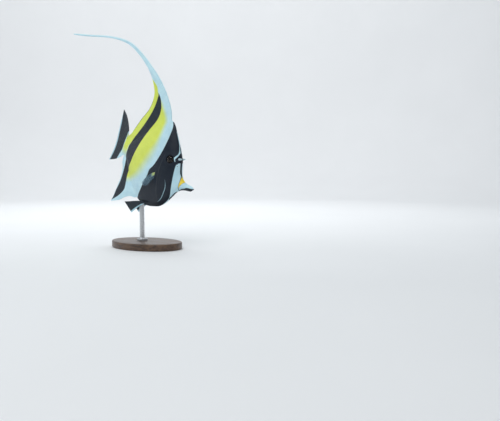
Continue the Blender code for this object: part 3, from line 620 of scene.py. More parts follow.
def gold_share(along, up, tail):
    """Share of yellow: the broad field between the bands, and the strip behind the second band."""
    ahead = edge_gap(BAND_TWO_REAR, along, up)
    soft = GOLD_SOFT * (2 - fade(up, *GOLD_SOFTER_BELOW))
    field = 1 - fade((along - smooth_line(GOLD_FRONT, up)) / soft, -1.0, 1.0)
    field = field * fade(up, *GOLD_BOTTOM)
    line = REAR_LINE_HALF - np.abs(ahead + REAR_LINE_BACK) - REAR_LINE_FADING * fade(up, *REAR_LINE_TOP)
    strip = fade(up, *STRIP_BOTTOM) * (1 - fade(line, *REAR_LINE_EDGE))
    strip = strip * (1 - fade(edge_gap(PEAK_GOLD, along, up), *PEAK_EDGE) * fade(up, *PEAK_START))
    return np.where(ahead < 0, strip, field) * (1 - fade(tail, *TAIL_GOLD_END))


def colour_marks(along, up, side):
    """Millimetres inside the black, pale and saddle marks, and the share of yellow."""
    tail = -edge_gap(CAUDAL_DARK, along, up)
    return {"ink": np.minimum(dark_marks(along, up, side, tail), -bare_lines(along, up)),
            "pale": pale_lines(along, up, tail),
            "gold": gold_share(along, up, tail),
            "saddle": in_band(SADDLE_REAR, SADDLE_FRONT, along, up)}


def eye_relief(along, up):
    """Lid, the swelling around it and the eye's socket."""
    radius = spot_gap(along, up, EYE_AT)
    socket = SOCKET_DEPTH * (1 - fade(radius, *(EYE_RADIUS * MM + wall for wall in SOCKET_WALL)))
    return swell(radius, LID_SWELL) + swell(radius, ORBIT_SWELL) - socket


def flank_relief(along, up, height):
    """Gill cover's edge, the cheek bone's edge, the lateral line and the side fin's root."""
    gill = along - HEAD_REAR - GILL_BULGE * height ** 2
    cover = GILL_RISE * np.exp(-np.clip(gill, 0, None) / GILL_REACH) * fade(gill, *GILL_EDGE)
    cover = cover * window(height, *GILL_SPAN)
    bone, bone_share = line_gap(along, up, PREOPERCLE)
    sense, sense_share = line_gap(along, up, LATERAL_LINE)
    return (cover + swell(bone, BONE_SWELL) * np.sin(math.pi * bone_share)
            + swell(sense, SENSE_SWELL) * fade(sense_share, *SENSE_START)
            + swell(line_gap(along, up, PECTORAL_ROOT)[0], PADDLE_SWELL))


def snout_relief(along, up):
    """Lips, mouth line, nostrils with their rims and the swelling under the horn."""
    mouth = (up - smooth_line(MOUTH_LINE, along)) * SHARE_MM
    relief = sum(swell(mouth, lip) for lip in LIP_SWELLS) * fade(along, *LIP_START)
    relief = relief - swell(mouth, MOUTH_GROOVE) * fade(along, *MOUTH_CORNER)
    for spot in NOSTRILS:
        hole = spot_gap(along, up, spot)
        relief = relief - NOSTRIL_DEPTH * (1 - fade(hole, *NOSTRIL_WALL)) + swell(hole, NOSTRIL_RIM)
    return relief + swell(spot_gap(along, up, HORN_AT), HORN_SWELL)


def rib_relief(along, away, base, rays, end):
    """Faint ribs where a fin's rays go down into the body's edge."""
    ribs = np.cos(2 * math.pi * rays * along / (base[0] - base[1]))
    return ribs * swell(away * SHARE_MM, RIB_SWELL) * (1 - fade(along, *end))


def skin_relief(along, up, height, side):
    """Height in metres that the skin stands off the plain body."""
    relief = (eye_relief(along, up) + flank_relief(along, up, height)) * fade(np.abs(side) * MM, *FLANK_START)
    relief = relief + snout_relief(along, up)
    under_top, over_bottom = smooth_line(TOP_LINE, along) - up, up - smooth_line(BOTTOM_LINE, along)
    relief = relief + rib_relief(along, under_top, DORSAL_BASE, DORSAL_RAYS, DORSAL_RIBS_END)
    relief = relief + rib_relief(along, over_bottom, ANAL_BASE, ANAL_RAYS, ANAL_RIBS_END)
    return relief / MM


def skin_sections():
    """Shares along and up, height shares and half widths of the skin's sections, tail root to snout."""
    closing = SNOUT_CLOSING * np.sin(np.linspace(SNOUT_FIRST, 1.0, SNOUT_RINGS) * math.pi / 2)
    stations = crowd(-TAIL_SINK, SNOUT_TIP, SKIN_STATIONS, STATION_PEAKS)
    stations = np.concatenate([stations, SNOUT_TIP + closing])
    turn = crowd(-math.pi / 2, math.pi / 2, SKIN_STEPS, STEP_PEAKS)
    cap = (np.arange(EDGE_STEPS) + 0.5) / EDGE_STEPS * math.pi / 2
    height = np.concatenate([np.full(EDGE_STEPS, -1.0), np.sin(turn), np.full(EDGE_STEPS, 1.0)])
    lean = np.concatenate([-cap[::-1], np.zeros(SKIN_STEPS), cap])[None]
    along = np.repeat(stations[:, None], len(height), 1)
    inner = np.minimum(along, SNOUT_TIP)
    top, bottom = smooth_line(TOP_LINE, inner), smooth_line(BOTTOM_LINE, inner)
    cap_size = EDGE_HALF / STANDARD_LENGTH
    past = np.clip((along - SNOUT_TIP) / SNOUT_CLOSING, 0, SNOUT_CLOSED)
    shrink = np.cos(np.arcsin(past))
    reach = (top - bottom) / 2 - cap_size
    up = (top + bottom) / 2 + (height * reach + cap_size * np.sin(lean)) * shrink
    thin = 1 - TAIL_THINNING * fade(-along, -TAIL_THIN_START, TAIL_SINK)
    half = half_at(inner, height[None]) * np.cos(lean) * thin * shrink
    return along, up, height + 0 * along, half


def outward_normals(rings):
    """Directions that point out of a closed row of rings."""
    round_ring = np.concatenate([rings[:, -1:], rings, rings[:, :1]], 1)
    normal = unit(np.cross(np.gradient(round_ring, axis=1)[:, 1:-1], np.gradient(rings, axis=0)))
    outward = ((rings - rings.mean(1, keepdims=True)) * normal).sum() > 0
    return normal if outward else -normal


def build_skin(surface):
    """Skin of head, body and tail root: sections of the body's law, raised by the relief."""
    along, up, height, half = skin_sections()
    rings = joined(place(along, half, up), place(along, -half, up))
    along, up, height = mirrored(along), mirrored(up), mirrored(height)
    side = joined(half, -half)
    rings = rings + outward_normals(rings) * skin_relief(along, up, height, side)[..., None]
    obj = closed_grid("fish_skin", rings, colour_marks(along, up, side))
    attach(obj, surface, "body_skin", "head", "body", "peduncle")


def patch(base, lead, margin, rear, shares, rise):
    """Grid that fills four lines: base to margin along the rows, lead to rear along the columns."""
    u = shares[None, :, None]
    w = rise[:, None, None]
    base, margin = base[None], margin[None]
    lead, rear = lead[:, None], rear[:, None]
    corners = (1 - w) * ((1 - u) * lead[:1] + u * rear[:1]) + w * ((1 - u) * lead[-1:] + u * rear[-1:])
    return (1 - w) * base + w * margin + (1 - u) * lead + u * rear - corners


def round_off(shares, reach):
    """Factor that rounds an edge off: 1 inside and nearly 0 at share 0."""
    inside = np.clip(shares / reach, 0.0, 1.0)
    return np.sqrt(np.clip(1 - (1 - inside) ** 2, ROUND_LEAST, 1.0))


def ray_ridge(shares, rise, rays):
    """Share 0 to 1 of a ray's height; each ray splits in two towards the margin."""
    single = np.cos(math.pi * rays * shares) ** 2
    double = np.sin(2 * math.pi * rays * shares) ** 2
    split = fade(rise, *RAY_SPLIT)
    return single * (1 - split) + double * split


def fin_grid(base, lead, margin, rear, shares, rise, blend):
    """Grid of a fin whose front and rear edges bend over their first stretch to the root's corners."""
    lead, rear = trace(lead, rise), trace(rear, rise)
    lead = lead + (base[0] - lead[0]) * (1 - fade(rise, 0.0, blend[0]))[:, None]
    rear = rear + (base[-1] - rear[0]) * (1 - fade(rise, 0.0, blend[1]))[:, None]
    return patch(base, lead, margin, rear, shares, rise)


def median_fin(name, grid, rise, shares, rays, surface, slot, mark, hem):
    """Fin in the fish's middle from its side view: tapered, rayed, a little waved, with a hem of one mark."""
    w, u = rise[:, None], shares[None]
    ridge = ray_ridge(u, w, rays)
    rayed = ridge * fade(w, *RAY_START)
    half = FIN_ROOT_HALF + (FIN_EDGE_HALF - FIN_ROOT_HALF) * np.clip(w, 0, 1) ** FIN_TAPER
    half = half + FIN_FLARE * np.exp(-np.clip(w, 0, None) / FIN_FLARE_REACH) + RAY_RISE * rayed
    lead = (1 - fade(u, 0.0, FIN_LEAD_WIDE)) * (1 - FIN_LEAD_THINNING * w)
    half = half + (FIN_LEAD_HALF - half) * lead
    half = half * round_off(u, FIN_ROUND) * round_off(1 - u, FIN_ROUND) * round_off(1 - w, FIN_ROUND)
    wave = np.sin(FIN_WAVE_RATES[0] * u + FIN_WAVE_RATES[1] * w)
    wave = FIN_WAVE * fade(w, *FIN_WAVE_OUT) * wave * fade(u, *FIN_WAVE_REAR)
    along, up = grid[..., 0], grid[..., 1]
    rings = joined(place(along, wave + half, up), place(along, wave - half, up))
    length = np.linalg.norm(grid[-1] - grid[0], axis=-1)[None] * SHARE_MM
    marks = colour_marks(along, up, half)
    marks[mark] = np.maximum(marks[mark], hem - (1 - w) * length)
    marks.update(ray=rayed, run=w * length)
    marks = {key: mirrored(value) for key, value in marks.items()}
    attach(closed_grid(name + "_look", rings, marks), surface, slot, name)


def body_edge(line, ends, shares, lift):
    """Line under the body's top or bottom edge, where a fin is rooted."""
    along = ends[0] + (ends[1] - ends[0]) * shares
    return np.column_stack([along, smooth_line(line, along) + lift])


def notched(margin, shares, rays, start):
    """Margin line drawn in a little between the rays."""
    middle = margin.mean(0)
    inward = unit(middle - margin)
    hollow = (1 - ray_ridge(shares, np.ones_like(shares), rays)) * fade(shares, start, start + NOTCH_REACH)
    return margin + inward * (RAY_NOTCH * hollow)[:, None]


def fin_shares(rays, per_ray=STEPS_A_RAY):
    """Shares across a fin, closer together at both ends."""
    return crowd(0.0, 1.0, rays * per_ray + 1, FIN_PEAKS)


def fin_rise(count):
    """Shares from a fin's root to its margin, closer together at both ends."""
    return crowd(0.0, 1.0, count, RISE_PEAKS)


def build_dorsal(surface):
    """Dorsal fin up to the peak where the filament goes on, with a thin dark hem along its rear margin."""
    shares, rise = fin_shares(DORSAL_RAYS), fin_rise(DORSAL_ROWS)
    cut_share = np.clip(shares / DORSAL_CUT_SHARE, 0, 1)[:, None]
    cut_line = np.array(DORSAL_CUT[0]) * (1 - cut_share) + np.array(DORSAL_CUT[1]) * cut_share
    rest = trace(DORSAL_MARGIN, np.clip((shares - DORSAL_CUT_SHARE) / (1 - DORSAL_CUT_SHARE), 0, 1))
    margin = np.where(shares[:, None] < DORSAL_CUT_SHARE, cut_line, rest)
    margin = notched(margin, shares, DORSAL_RAYS, DORSAL_CUT_SHARE)
    base = body_edge(TOP_LINE, DORSAL_BASE, shares, -FIN_SINK)
    grid = fin_grid(base, DORSAL_LEAD, margin, DORSAL_REAR, shares, rise, FIN_BLEND)
    hem = DORSAL_HEM * window(grid[..., 1], *DORSAL_HEM_SPAN) * fade(shares, *DORSAL_HEM_START)
    median_fin("dorsal_fin", grid, rise, shares, DORSAL_RAYS, surface, "dorsal_membrane", "ink", hem)


def build_anal(surface):
    """Anal fin with a pale rear hem."""
    shares, rise = fin_shares(ANAL_RAYS), fin_rise(FIN_ROWS)
    margin = notched(trace(ANAL_MARGIN, shares), shares, ANAL_RAYS, NOTCH_START)
    base = body_edge(BOTTOM_LINE, ANAL_BASE, shares, FIN_SINK)
    grid = fin_grid(base, ANAL_LEAD, margin, ANAL_REAR, shares, rise, FIN_BLEND)
    hem = ANAL_HEM * fade(shares, *ANAL_HEM_START)
    median_fin("anal_fin", grid, rise, shares, ANAL_RAYS, surface, "anal_membrane", "pale", hem)


def build_caudal(surface):
    """Tail fin: yellow base, white line, black fan and a pale rear hem."""
    shares, rise = fin_shares(CAUDAL_RAYS, STEPS_A_WIDE_RAY), fin_rise(FIN_ROWS)
    margin = notched(trace(CAUDAL_MARGIN, shares), shares, CAUDAL_RAYS, NOTCH_START)
    base = np.array(CAUDAL_TOP[0]) * (1 - shares[:, None]) + np.array(CAUDAL_BOTTOM[0]) * shares[:, None]
    base = base * (1.0, CAUDAL_ROOT_SHARE) + (CAUDAL_SINK, 0.0)
    grid = fin_grid(base, CAUDAL_TOP, margin, CAUDAL_BOTTOM, shares, rise, CAUDAL_BLEND)
    hem = CAUDAL_HEM * fade(shares, *CAUDAL_HEM_START)
    median_fin("caudal_fin", grid, rise, shares, CAUDAL_RAYS, surface, "caudal_membrane", "pale", hem)


def build_filament(surface):
    """Strap that grows out of the dorsal fin's leading edge and thins to a thread; ends rounded."""
    knots = lengths_along(FILAMENT_PATH)
    root = knots[FILAMENT_ROOT_POINTS]
    shares = np.linspace(-root / (knots[-1] - root), 1.0, FILAMENT_STATIONS)
    line = smooth_line(np.column_stack([knots, FILAMENT_PATH]), shares * (knots[-1] - root) + root)
    across = unit(np.gradient(line, axis=0))[:, ::-1] * (1.0, -1.0)
    turn = around(FILAMENT_SIDES)
    wide = smooth_line(FILAMENT_WIDE, shares)[:, None] / STANDARD_LENGTH
    thick = smooth_line(FILAMENT_THICK, shares)[:, None]
    ends = round_off(1 - shares, FILAMENT_ROUND[1]) * round_off(shares - shares[0], FILAMENT_ROUND[0])
    spread = wide * ends[:, None] * np.cos(turn)
    along, up = (line[:, [k]] + across[:, [k]] * spread for k in (0, 1))
    sway = FILAMENT_SWAY * STANDARD_LENGTH * np.clip(shares, 0, None)[:, None] ** 2
    groove = 1 - swell(np.cos(turn), FILAMENT_GROOVE)
    rings = place(along, thick * ends[:, None] * np.sin(turn) * groove + sway, up)
    marks = {"ink": NO_MARK, "pale": NO_MARK, "gold": 0.0, "saddle": NO_MARK, "ray": 0.5,
             "run": shares[:, None] * FILAMENT_RUN}
    lengths = ["dorsal_filament_%d" % number for number in (1, 2, 3)]
    attach(closed_grid("filament_look", rings, marks), surface, "filament_membrane", *lengths)


def paired_fin(side, root, knee, tip, bulge, rays):
    """Rings and first marks of a fan of rays that bend from a root line on the skin out to their tips."""
    shares, rise = fin_shares(rays, STEPS_A_WIDE_RAY), fin_rise(PAIRED_ROWS)
    across = shares[:, None]
    line, knees, tips = (np.array(ends)[0] * (1 - across) + np.array(ends)[1] * across
                         for ends in (root, knee, tip))
    base = skin_point(line[:, 0], line[:, 1], side, -PAIRED_SINK)
    onward = unit((tip[0] + tip[1]) / 2 - (knee[0] + knee[1]) / 2)
    notch = RAY_NOTCH * STANDARD_LENGTH * (1 - ray_ridge(shares, np.ones_like(shares), rays))
    tips = tips + onward * (bulge * np.sin(math.pi * shares) - notch)[:, None]
    w = rise[:, None, None]
    grid = base * (1 - w) ** 2 + knees * 2 * w * (1 - w) + tips * w ** 2
    normal = unit(np.cross(np.gradient(grid, axis=1), np.gradient(grid, axis=0)))
    w, u = rise[:, None], shares[None]
    ridge = ray_ridge(u, w, rays)
    half = PAIRED_ROOT_HALF + (PAIRED_TIP_HALF - PAIRED_ROOT_HALF) * w ** PAIRED_TAPER
    half = half + RAY_RISE * ridge * fade(w, *PAIRED_RAY_START) * (1 - PAIRED_RAY_THINNING * w)
    half = half * round_off(u, PAIRED_ROUND) * round_off(1 - u, PAIRED_ROUND)
    normal = normal * (half * round_off(1 - w, PAIRED_TIP_ROUND))[..., None]
    rings = joined(grid + normal, grid - normal)
    marks = {"ray": ridge * fade(w, *PAIRED_SHADE_START),
             "run": w * np.linalg.norm(grid[-1] - grid[0], axis=-1)[None] * MM}
    return rings, marks, u, w, ridge


def attach_paired(name, rings, marks, surface, slot):
    """Mesh of one paired fin with its marks on both faces."""
    plain = np.zeros_like(marks["ray"])
    marks = {key: mirrored(value + plain) for key, value in marks.items()}
    attach(closed_grid(name + "_look", rings, marks), surface, slot, name)


def build_pectoral(side, name, surface):
    """Clear side fin with a yellow base."""
    root = np.array(PECTORAL_ROOT)
    start = skin_point(root[:, 0], root[:, 1], side)
    out = np.array([0.0, -side, 0.0])
    back = unit(place(0.0, 0.0, 0.0) - place(TURN_START, 0.0, 0.0))
    down = unit(place(TURN_START, 0.0, -1.0) - place(TURN_START, 0.0, 0.0))
    directions = np.stack([back, out, down])
    knees, tips = (start + PECTORAL_REACH * np.array(shares) @ directions
                   for shares in (PECTORAL_KNEE, PECTORAL_TIP))
    rings, marks, u, w, ridge = paired_fin(side, PECTORAL_ROOT, knees, tips, PECTORAL_BULGE, PECTORAL_RAYS)
    gold = PECTORAL_GOLD * window(w, *PECTORAL_GOLD_SPAN) * (1 - fade(u, *PECTORAL_GOLD_BELOW))
    body = PECTORAL_BODY + PECTORAL_RAY_BODY * ridge * (1 - PAIRED_RAY_THINNING * w)
    body = body + PECTORAL_ROOT_BODY * (1 - fade(w, *PECTORAL_ROOT_SPAN))
    body = body - PECTORAL_LOW_THINNING * fade(u, *PECTORAL_LOW_SPAN)
    body = np.maximum(body, gold) * (1 - PECTORAL_TIP_THINNING * fade(w, *PECTORAL_TIP_SPAN))
    marks.update(ink=NO_MARK, pale=NO_MARK, gold=gold, saddle=NO_MARK, body=body, dusk=1 - gold)
    attach_paired(name, rings, marks, surface, "pectoral_membrane")


def build_pelvic(side, name, surface):
    """Black belly fin with a pale leading ray."""
    knee, tip = ([place(along, side * out * STANDARD_LENGTH, up) for along, out, up in line]
                 for line in (PELVIC_KNEE, PELVIC_TIP))
    rings, marks, u, w, _ = paired_fin(side, PELVIC_ROOT, knee, tip, 0.0, PELVIC_RAYS)
    lead = PELVIC_LEAD - u * (PELVIC_LEAD_NARROWING[0] + PELVIC_LEAD_NARROWING[1] * w)
    lead = lead - PELVIC_LEAD_LACK * (1 - fade(w, *PELVIC_LEAD_START))
    marks.update(ink=1.0, pale=lead, gold=0.0, saddle=NO_MARK)
    attach_paired(name, rings, marks, surface, "pelvic_membrane")


def eye_frame(side):
    """Centre of an eye and its three directions: out of the head, forwards and up."""
    spot, centre = (skin_point(EYE_AT[0], EYE_AT[1], side, lift) for lift in (0.0, -EYE_SINK))
    out = unit(spot - centre)
    ahead = place(1.0, 0.0, 0.0) - place(TURN_START, 0.0, 0.0)
    ahead = unit(ahead - out * (ahead @ out))
    return centre, out, ahead, np.cross(out, ahead)


def dome(name, side, radius, depth, dish):
    """Flattened ball from rings of latitude; its front is dished in within the iris where dish is above 0."""
    centre, out, ahead, above = eye_frame(side)
    latitude = crowd(DOME_POLE, math.pi - DOME_POLE, DOME_RINGS, DOME_PEAKS)[:, None]
    turn = around(DOME_SIDES)[None]
    front, share = np.cos(latitude) > 0, np.sin(latitude)
    lift = np.cos(latitude) * depth
    lift = np.where(front, lift - dish * (1 - fade(share, *IRIS_EDGE)), lift)
    rings = (centre + out * lift[..., None] + ahead * (share * radius * np.cos(turn))[..., None]
             + above * (share * radius * np.sin(turn))[..., None])
    return closed_grid(name, rings, {"share": np.where(front, share, BEHIND_SHARE), "spoke": turn})


def build_eye(side, name, iris, cornea):
    """Eyeball with a dished iris, under a clear cornea."""
    attach(dome(name + "_ball", side, EYE_RADIUS, EYE_DEPTH, IRIS_DISH), iris, "eye_surface", name)
    shell = dome(name + "_cornea", side, EYE_RADIUS - CORNEA_INSET, EYE_DEPTH + CORNEA_LIFT, 0.0)
    attach(shell, cornea, "eye_surface")


def build_horn(side, name, surface):
    """Small bony horn in front of the eye, with growth rings, rooted in the skin."""
    turn = around(HORN_SIDES)
    radius = HORN_RADIUS / STANDARD_LENGTH
    along, up = HORN_AT[0] + radius * np.cos(turn), HORN_AT[1] + radius * np.sin(turn)
    root = skin_point(along, up, side, -HORN_SINK)
    centre = root.mean(0)
    outward = unit(skin_point(HORN_AT[0], HORN_AT[1], side, HORN_SIGHT) - centre)
    forward = unit(place(HORN_AIM[0], 0.0, HORN_AIM[1]) - place(TURN_START, 0.0, 0.0))
    tip = HORN_LENGTH * (HORN_LEAN[0] * outward + HORN_LEAN[1] * forward)
    t = np.linspace(0.0, HORN_END, HORN_RINGS)[:, None, None]
    scale = (1 - t) ** HORN_TAPER * (1 + HORN_GROWTH[0] * np.sin(HORN_GROWTH[1] * t) * (1 - t))
    rings = centre + (root - centre)[None] * scale + tip * t
    attach(closed_grid(name + "_look", rings, {"rise": t[..., 0]}), surface, "horn_surface", name)


class Nodes:
    """Short calls for one material's node tree."""

    def __init__(self, name):
        self.material = bpy.data.materials.new(name)
        self.material.use_nodes = True
        self.tree = self.material.node_tree
        self.shader = self.tree.nodes["Principled BSDF"]

    def put(self, socket, value):
        """Link an output to an input socket, or set its value."""
        if isinstance(value, bpy.types.NodeSocket):
            self.tree.links.new(value, socket)
        elif isinstance(value, tuple) and len(value) == 3 and socket.type == "RGBA":
            socket.default_value = (*value, 1.0)
        else:
            socket.default_value = value

    def add(self, kind, settings=None, **inputs):
        """New node with its settings and inputs; an input's name has spaces written as _."""
        node = self.tree.nodes.new(kind)
        for key, value in (settings or {}).items():
            setattr(node, key, value)
        for key, value in inputs.items():
            self.put(node.inputs[key.replace("_", " ")], value)
        return node

    def value(self, name):
        """The piece's own attribute as a number."""
        return self.add("ShaderNodeAttribute", {"attribute_name": name}).outputs["Fac"]

    def fill(self, node, numbers, values, output=0):
        """Put values into a node's sockets by number, and give back one of its outputs."""
        for number, value in zip(numbers, values):
            self.put(node.inputs[number], value)
        return node.outputs[output]

    def math(self, operation, a, b=0.0):
        """One sum of two numbers."""
        return self.fill(self.add("ShaderNodeMath", {"operation": operation}), (0, 1), (a, b))

    def step(self, value, low, high, start=0.0, end=1.0):
        """Smooth change of a number between two limits."""
        node = self.add("ShaderNodeMapRange", {"interpolation_type": "SMOOTHSTEP"})
        return self.fill(node, range(5), (value, low, high, start, end))

    def level(self, noise, start=0.0, end=1.0):
        """The middle values of a noise, spread smoothly from start to end."""
        return self.step(noise, *NOISE_MIDDLE, start, end)

    def here(self):
        """Object coordinates of the shaded point."""
        return self.add("ShaderNodeTexCoord").outputs["Object"]

    def noise(self, scale, detail=3.0):
        """Soft noise in object space."""
        return self.add("ShaderNodeTexNoise", Vector=self.here(), Scale=scale, Detail=detail,
                        Roughness=NOISE_ROUGHNESS).outputs[0]

    def cells(self, scale):
        """Distance within cells in object space."""
        return self.add("ShaderNodeTexVoronoi", Vector=self.here(), Scale=scale).outputs["Distance"]

    def stretched(self, scale):
        """Object coordinates stretched along the axes."""
        return self.add("ShaderNodeMapping", Vector=self.here(), Scale=scale).outputs[0]

    def mix(self, share, first, second):
        """Colour between two."""
        node = self.add("ShaderNodeMix", {"data_type": "RGBA"})
        return self.fill(node, (0, 6, 7), (share, first, second), 2)

    def relief(self, height, strength, distance, under=None):
        """Bump from a height."""
        node = self.add("ShaderNodeBump", Height=height, Strength=strength, Distance=distance)
        if under is not None:
            self.put(node.inputs["Normal"], under)
        return node.outputs[0]

    def finish(self, **inputs):
        """Set the shader's own sockets."""
        for key, value in inputs.items():
            self.put(self.shader.inputs[key.replace("_", " ")], value)
        return self.material


def fish_colours(nodes):
    """Colours of the fish from the piece's marks, whose edges wander finely."""
    mottle = nodes.noise(90.0, 4.0)
    grain = nodes.noise(1600.0, 2.0)
    white = nodes.mix(nodes.step(mottle, 0.35, 0.7), WHITE, nodes.mix(0.35, WHITE, WHITE_DEEP))
    yellow = nodes.mix(nodes.step(mottle, 0.3, 0.75), YELLOW, YELLOW_DEEP)
    wander = nodes.math("MULTIPLY", nodes.math("SUBTRACT", grain, 0.5), 0.35)
    base = nodes.mix(nodes.value("gold"), white, yellow)
    saddle = nodes.math("ADD", nodes.value("saddle"), wander)
    base = nodes.mix(nodes.step(saddle, -0.1, 0.15), base, SADDLE)
    ink = nodes.math("ADD", nodes.value("ink"), wander)
    black = nodes.mix(nodes.level(mottle), BLACK, BLACK_WARM)
    base = nodes.mix(nodes.step(ink, -0.22, 0.22), base, black)
    pale = nodes.math("ADD", nodes.value("pale"), wander)
    return nodes.mix(nodes.step(pale, -0.2, 0.3), base, PALE_LINE)


def skin_surface():
    """Fine rough scales over the painted skin."""
    nodes = Nodes("fish_skin_surface")
    colour = fish_colours(nodes)
    cell = nodes.cells(SCALE_CELLS)
    edge = nodes.step(cell, 0.1, 0.75)
    shade = nodes.mix(nodes.math("MULTIPLY", edge, 0.22), colour, nodes.mix(0.5, colour, SCALE_SHADE))
    low = nodes.relief(nodes.noise(160.0, 4.0), 0.25, 0.0004)
    scales = nodes.relief(nodes.math("SUBTRACT", 1.0, edge), 0.35, 0.00007, low)
    rough = nodes.level(nodes.noise(300.0), 0.36, 0.5)
    return nodes.finish(Base_Color=shade, Roughness=rough, Normal=scales, Specular_IOR_Level=0.3,
                        Subsurface_Weight=0.06, Subsurface_Radius=(0.0025, 0.002, 0.0015),
                        Subsurface_Scale=0.5, Coat_Weight=0.06, Coat_Roughness=0.25)


def fin_surface(name, clear=False):
    """Painted membrane with rays that show lighter or darker and fine joints across them."""
    nodes = Nodes(name)
    colour = fish_colours(nodes)
    ray = nodes.value("ray")
    run = nodes.value("run")
    joints = nodes.math("SINE", nodes.math("MULTIPLY", run, JOINT_RATE))
    joints = nodes.math("MULTIPLY", nodes.step(joints, 0.2, 0.9), ray)
    between = nodes.math("MULTIPLY", nodes.math("SUBTRACT", 1.0, ray), nodes.step(run, *MEMBRANE_RUN))
    thin = nodes.mix(between, colour, nodes.mix(0.45, colour, MEMBRANE_SHADE))
    low = nodes.relief(nodes.noise(500.0), 0.2, 0.0001)
    bars = nodes.relief(joints, 0.3, 0.00005, low)
    rough = nodes.level(nodes.noise(260.0), 0.38, 0.55)
    extra = {}
    if clear:
        thin = nodes.mix(nodes.math("MULTIPLY", nodes.value("dusk"), 0.92), thin, DUSK)
        extra = {"Alpha": nodes.value("body")}
    return nodes.finish(Base_Color=thin, Roughness=rough, Normal=bars, Specular_IOR_Level=0.3,
                        Subsurface_Weight=0.08, Subsurface_Radius=(0.002, 0.002, 0.0015),
                        Subsurface_Scale=0.4, Coat_Weight=0.04, Coat_Roughness=0.3, **extra)


def iris_surface():
    """Black pupil, thin bright rim, dark brown iris with fine spokes, dark outer ring."""
    nodes = Nodes("fish_iris")
    share = nodes.value("share")
    spokes = nodes.math("SINE", nodes.math("MULTIPLY", nodes.value("spoke"), IRIS_SPOKES))
    spokes = nodes.math("ADD", nodes.math("MULTIPLY", spokes, 0.2), nodes.noise(2500.0))
    iris = nodes.mix(nodes.step(spokes, 0.2, 0.8), IRIS_DARK, IRIS_BROWN)
    rim = nodes.mix(nodes.step(share, PUPIL_SHARE + PUPIL_SOFT, PUPIL_SHARE + IRIS_RIM_WIDE), IRIS_RIM, iris)
    pupil = nodes.mix(nodes.step(share, PUPIL_SHARE - PUPIL_SOFT, PUPIL_SHARE + PUPIL_SOFT), PUPIL, rim)
    colour = nodes.mix(nodes.step(share, *IRIS_OUTER_SPAN), pupil, IRIS_OUTER)
    normal = nodes.relief(spokes, 0.04, 0.00005)
    return nodes.finish(Base_Color=colour, Roughness=0.4, Specular_IOR_Level=0.05, Normal=normal)


def cornea_surface():
    """Clear wet cornea."""
    nodes = Nodes("fish_cornea")
    normal = nodes.relief(nodes.noise(700.0), 0.03, 0.0001)
    return nodes.finish(Base_Color=(1.0, 1.0, 1.0), Roughness=0.02, IOR=1.376, Transmission_Weight=1.0,
                        Normal=normal)


def horn_surface():
    """Pale bone that darkens to its root."""
    nodes = Nodes("fish_horn")
    rise = nodes.value("rise")
    bone = nodes.mix(nodes.level(nodes.noise(900.0)), BONE, BONE_DEEP)
    colour = nodes.mix(nodes.step(rise, 0.05, 0.4), HORN_ROOT, bone)
    normal = nodes.relief(nodes.noise(1800.0), 0.3, 0.0001)
    return nodes.finish(Base_Color=colour, Roughness=0.42, Normal=normal)


def wood_surface():
    """Dark oiled wood with stretched grain and small pores."""
    nodes = Nodes("stand_wood")
    along = nodes.stretched(WOOD_GRAIN)
    grain = nodes.add("ShaderNodeTexNoise", Vector=along, Scale=1.0, Detail=6.0, Distortion=0.8).outputs[0]
    pores = nodes.add("ShaderNodeTexNoise", Vector=along, Scale=9.0, Detail=2.0).outputs[0]
    colour = nodes.mix(nodes.level(grain), WOOD_DARK, WOOD_LIGHT)
    colour = nodes.mix(nodes.step(pores, 0.58, 0.7), colour, WOOD_PORE)
    normal = nodes.relief(nodes.math("ADD", grain, pores), 0.15, 0.0002)
    rough = nodes.level(grain, 0.34, 0.5)
    return nodes.finish(Base_Color=colour, Roughness=rough, Normal=normal, Coat_Weight=0.25,
                        Coat_Roughness=0.2)


def steel_surface():
    """Brushed steel with fine rings."""
    nodes = Nodes("stand_steel")
    rings = nodes.stretched(STEEL_RINGS)
    lines = nodes.add("ShaderNodeTexNoise", Vector=rings, Scale=1.0, Detail=3.0).outputs[0]
    colour = nodes.mix(lines, STEEL_DARK, STEEL_LIGHT)
    rough = nodes.level(lines, 0.24, 0.38)
    normal = nodes.relief(lines, 0.12, 0.00003)
    return nodes.finish(Base_Color=colour, Roughness=rough, Metallic=1.0, Normal=normal)


def floor_surface():
    """Pale matt paint."""
    nodes = Nodes("studio_floor")
    colour = nodes.mix(nodes.noise(3.0), PAINT_DARK, PAINT_LIGHT)
    return nodes.finish(Base_Color=colour, Roughness=0.85)


def build_fish():
    """All pieces of the fish."""
    skin = skin_surface()
    membrane = fin_surface("fish_fin_surface")
    glass_fin = fin_surface("fish_clear_fin", clear=True)
    iris, cornea, bone = iris_surface(), cornea_surface(), horn_surface()
    build_skin(skin)
    build_dorsal(membrane)
    build_anal(membrane)
    build_caudal(membrane)
    build_filament(membrane)
    for side, word in ((1, "right"), (-1, "left")):
        build_pectoral(side, "pectoral_fin_" + word, glass_fin)
        build_pelvic(side, "pelvic_fin_" + word, membrane)
        build_eye(side, "eye_" + word, iris, cornea)
        build_horn(side, "horn_" + word, bone)


def dress_stand():
    """Wood and steel on the stand's own CAD nodes."""
    for name, surface in (("stand_base", wood_surface()), ("stand_rod", steel_surface())):
        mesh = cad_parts[name].data
        mesh.materials.clear()
        mesh.materials.append(surface)


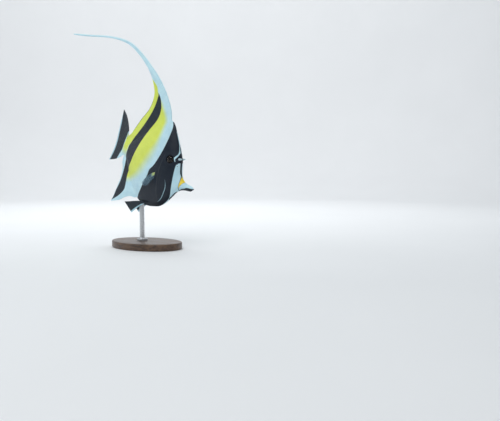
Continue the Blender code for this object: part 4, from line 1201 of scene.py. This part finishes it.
def build_floor():
    """Round floor whose rim curves up all round into a backdrop: a profile turned about the upright axis."""
    flat, curved, upright = FLOOR_RINGS
    bend = np.linspace(FLOOR_BEND_FIRST, 1.0, curved) * math.pi / 2
    reach = np.concatenate([np.linspace(FLOOR_HUB, FLOOR_FLAT, flat), FLOOR_FLAT + FLOOR_BEND * np.sin(bend),
                            np.full(upright, FLOOR_FLAT + FLOOR_BEND)])[:, None]
    rise = np.concatenate([np.zeros(flat), FLOOR_BEND * (1 - np.cos(bend)), np.linspace(*BACKDROP, upright)])
    turn = np.arange(FLOOR_SIDES) / FLOOR_SIDES * 2 * math.pi
    points = np.stack([reach * np.cos(turn), reach * np.sin(turn), rise[:, None] + 0 * turn], -1)
    index = np.arange(len(rise) * FLOOR_SIDES).reshape(-1, FLOOR_SIDES)
    turned = np.roll(index, -1, axis=1)
    quads = np.stack([index[:-1], index[1:], turned[1:], turned[:-1]], -1).reshape(-1, 4)
    mesh = bpy.data.meshes.new("studio_floor")
    mesh.from_pydata(points.reshape(-1, 3).tolist(), [], quads.tolist() + [index[0].tolist()])
    mesh.shade_smooth()
    mesh.materials.append(floor_surface())
    floor = bpy.data.objects.new("studio_floor", mesh)
    bpy.context.scene.collection.objects.link(floor)


def add_light(name, at, size, power, colour, towards):
    """Soft square light turned towards a point."""
    lamp = bpy.data.lights.new(name, "AREA")
    lamp.size = size
    lamp.energy = power
    lamp.color = colour
    obj = bpy.data.objects.new(name, lamp)
    obj.location = at
    away = np.array(towards) - at
    tilt = math.atan2(math.hypot(away[0], away[1]), -away[2])
    obj.rotation_euler = (tilt, 0.0, math.atan2(-away[0], away[1]))
    bpy.context.scene.collection.objects.link(obj)


def light_studio():
    """Large soft lights and an even pale sky."""
    for light in LIGHTS:
        add_light(*light)
    world = bpy.data.worlds.new("studio")
    world.use_nodes = True
    sky = world.node_tree.nodes["Background"].inputs
    sky["Color"].default_value = SKY
    sky["Strength"].default_value = SKY_STRENGTH
    bpy.context.scene.world = world


def add_camera():
    """The photograph's view."""
    lens = bpy.data.cameras.new("camera")
    lens.lens = CAMERA_LENS
    lens.clip_start = CAMERA_NEAR
    camera = bpy.data.objects.new("camera", lens)
    camera.location = CAMERA_AT
    camera.rotation_euler = (math.radians(CAMERA_TILT), 0.0, math.radians(CAMERA_TURN))
    bpy.context.scene.collection.objects.link(camera)
    bpy.context.scene.camera = camera


add_camera()
build_fish()
dress_stand()
build_floor()
light_studio()
bpy.context.scene.view_settings.view_transform = "Standard"
bpy.context.view_layer.update()
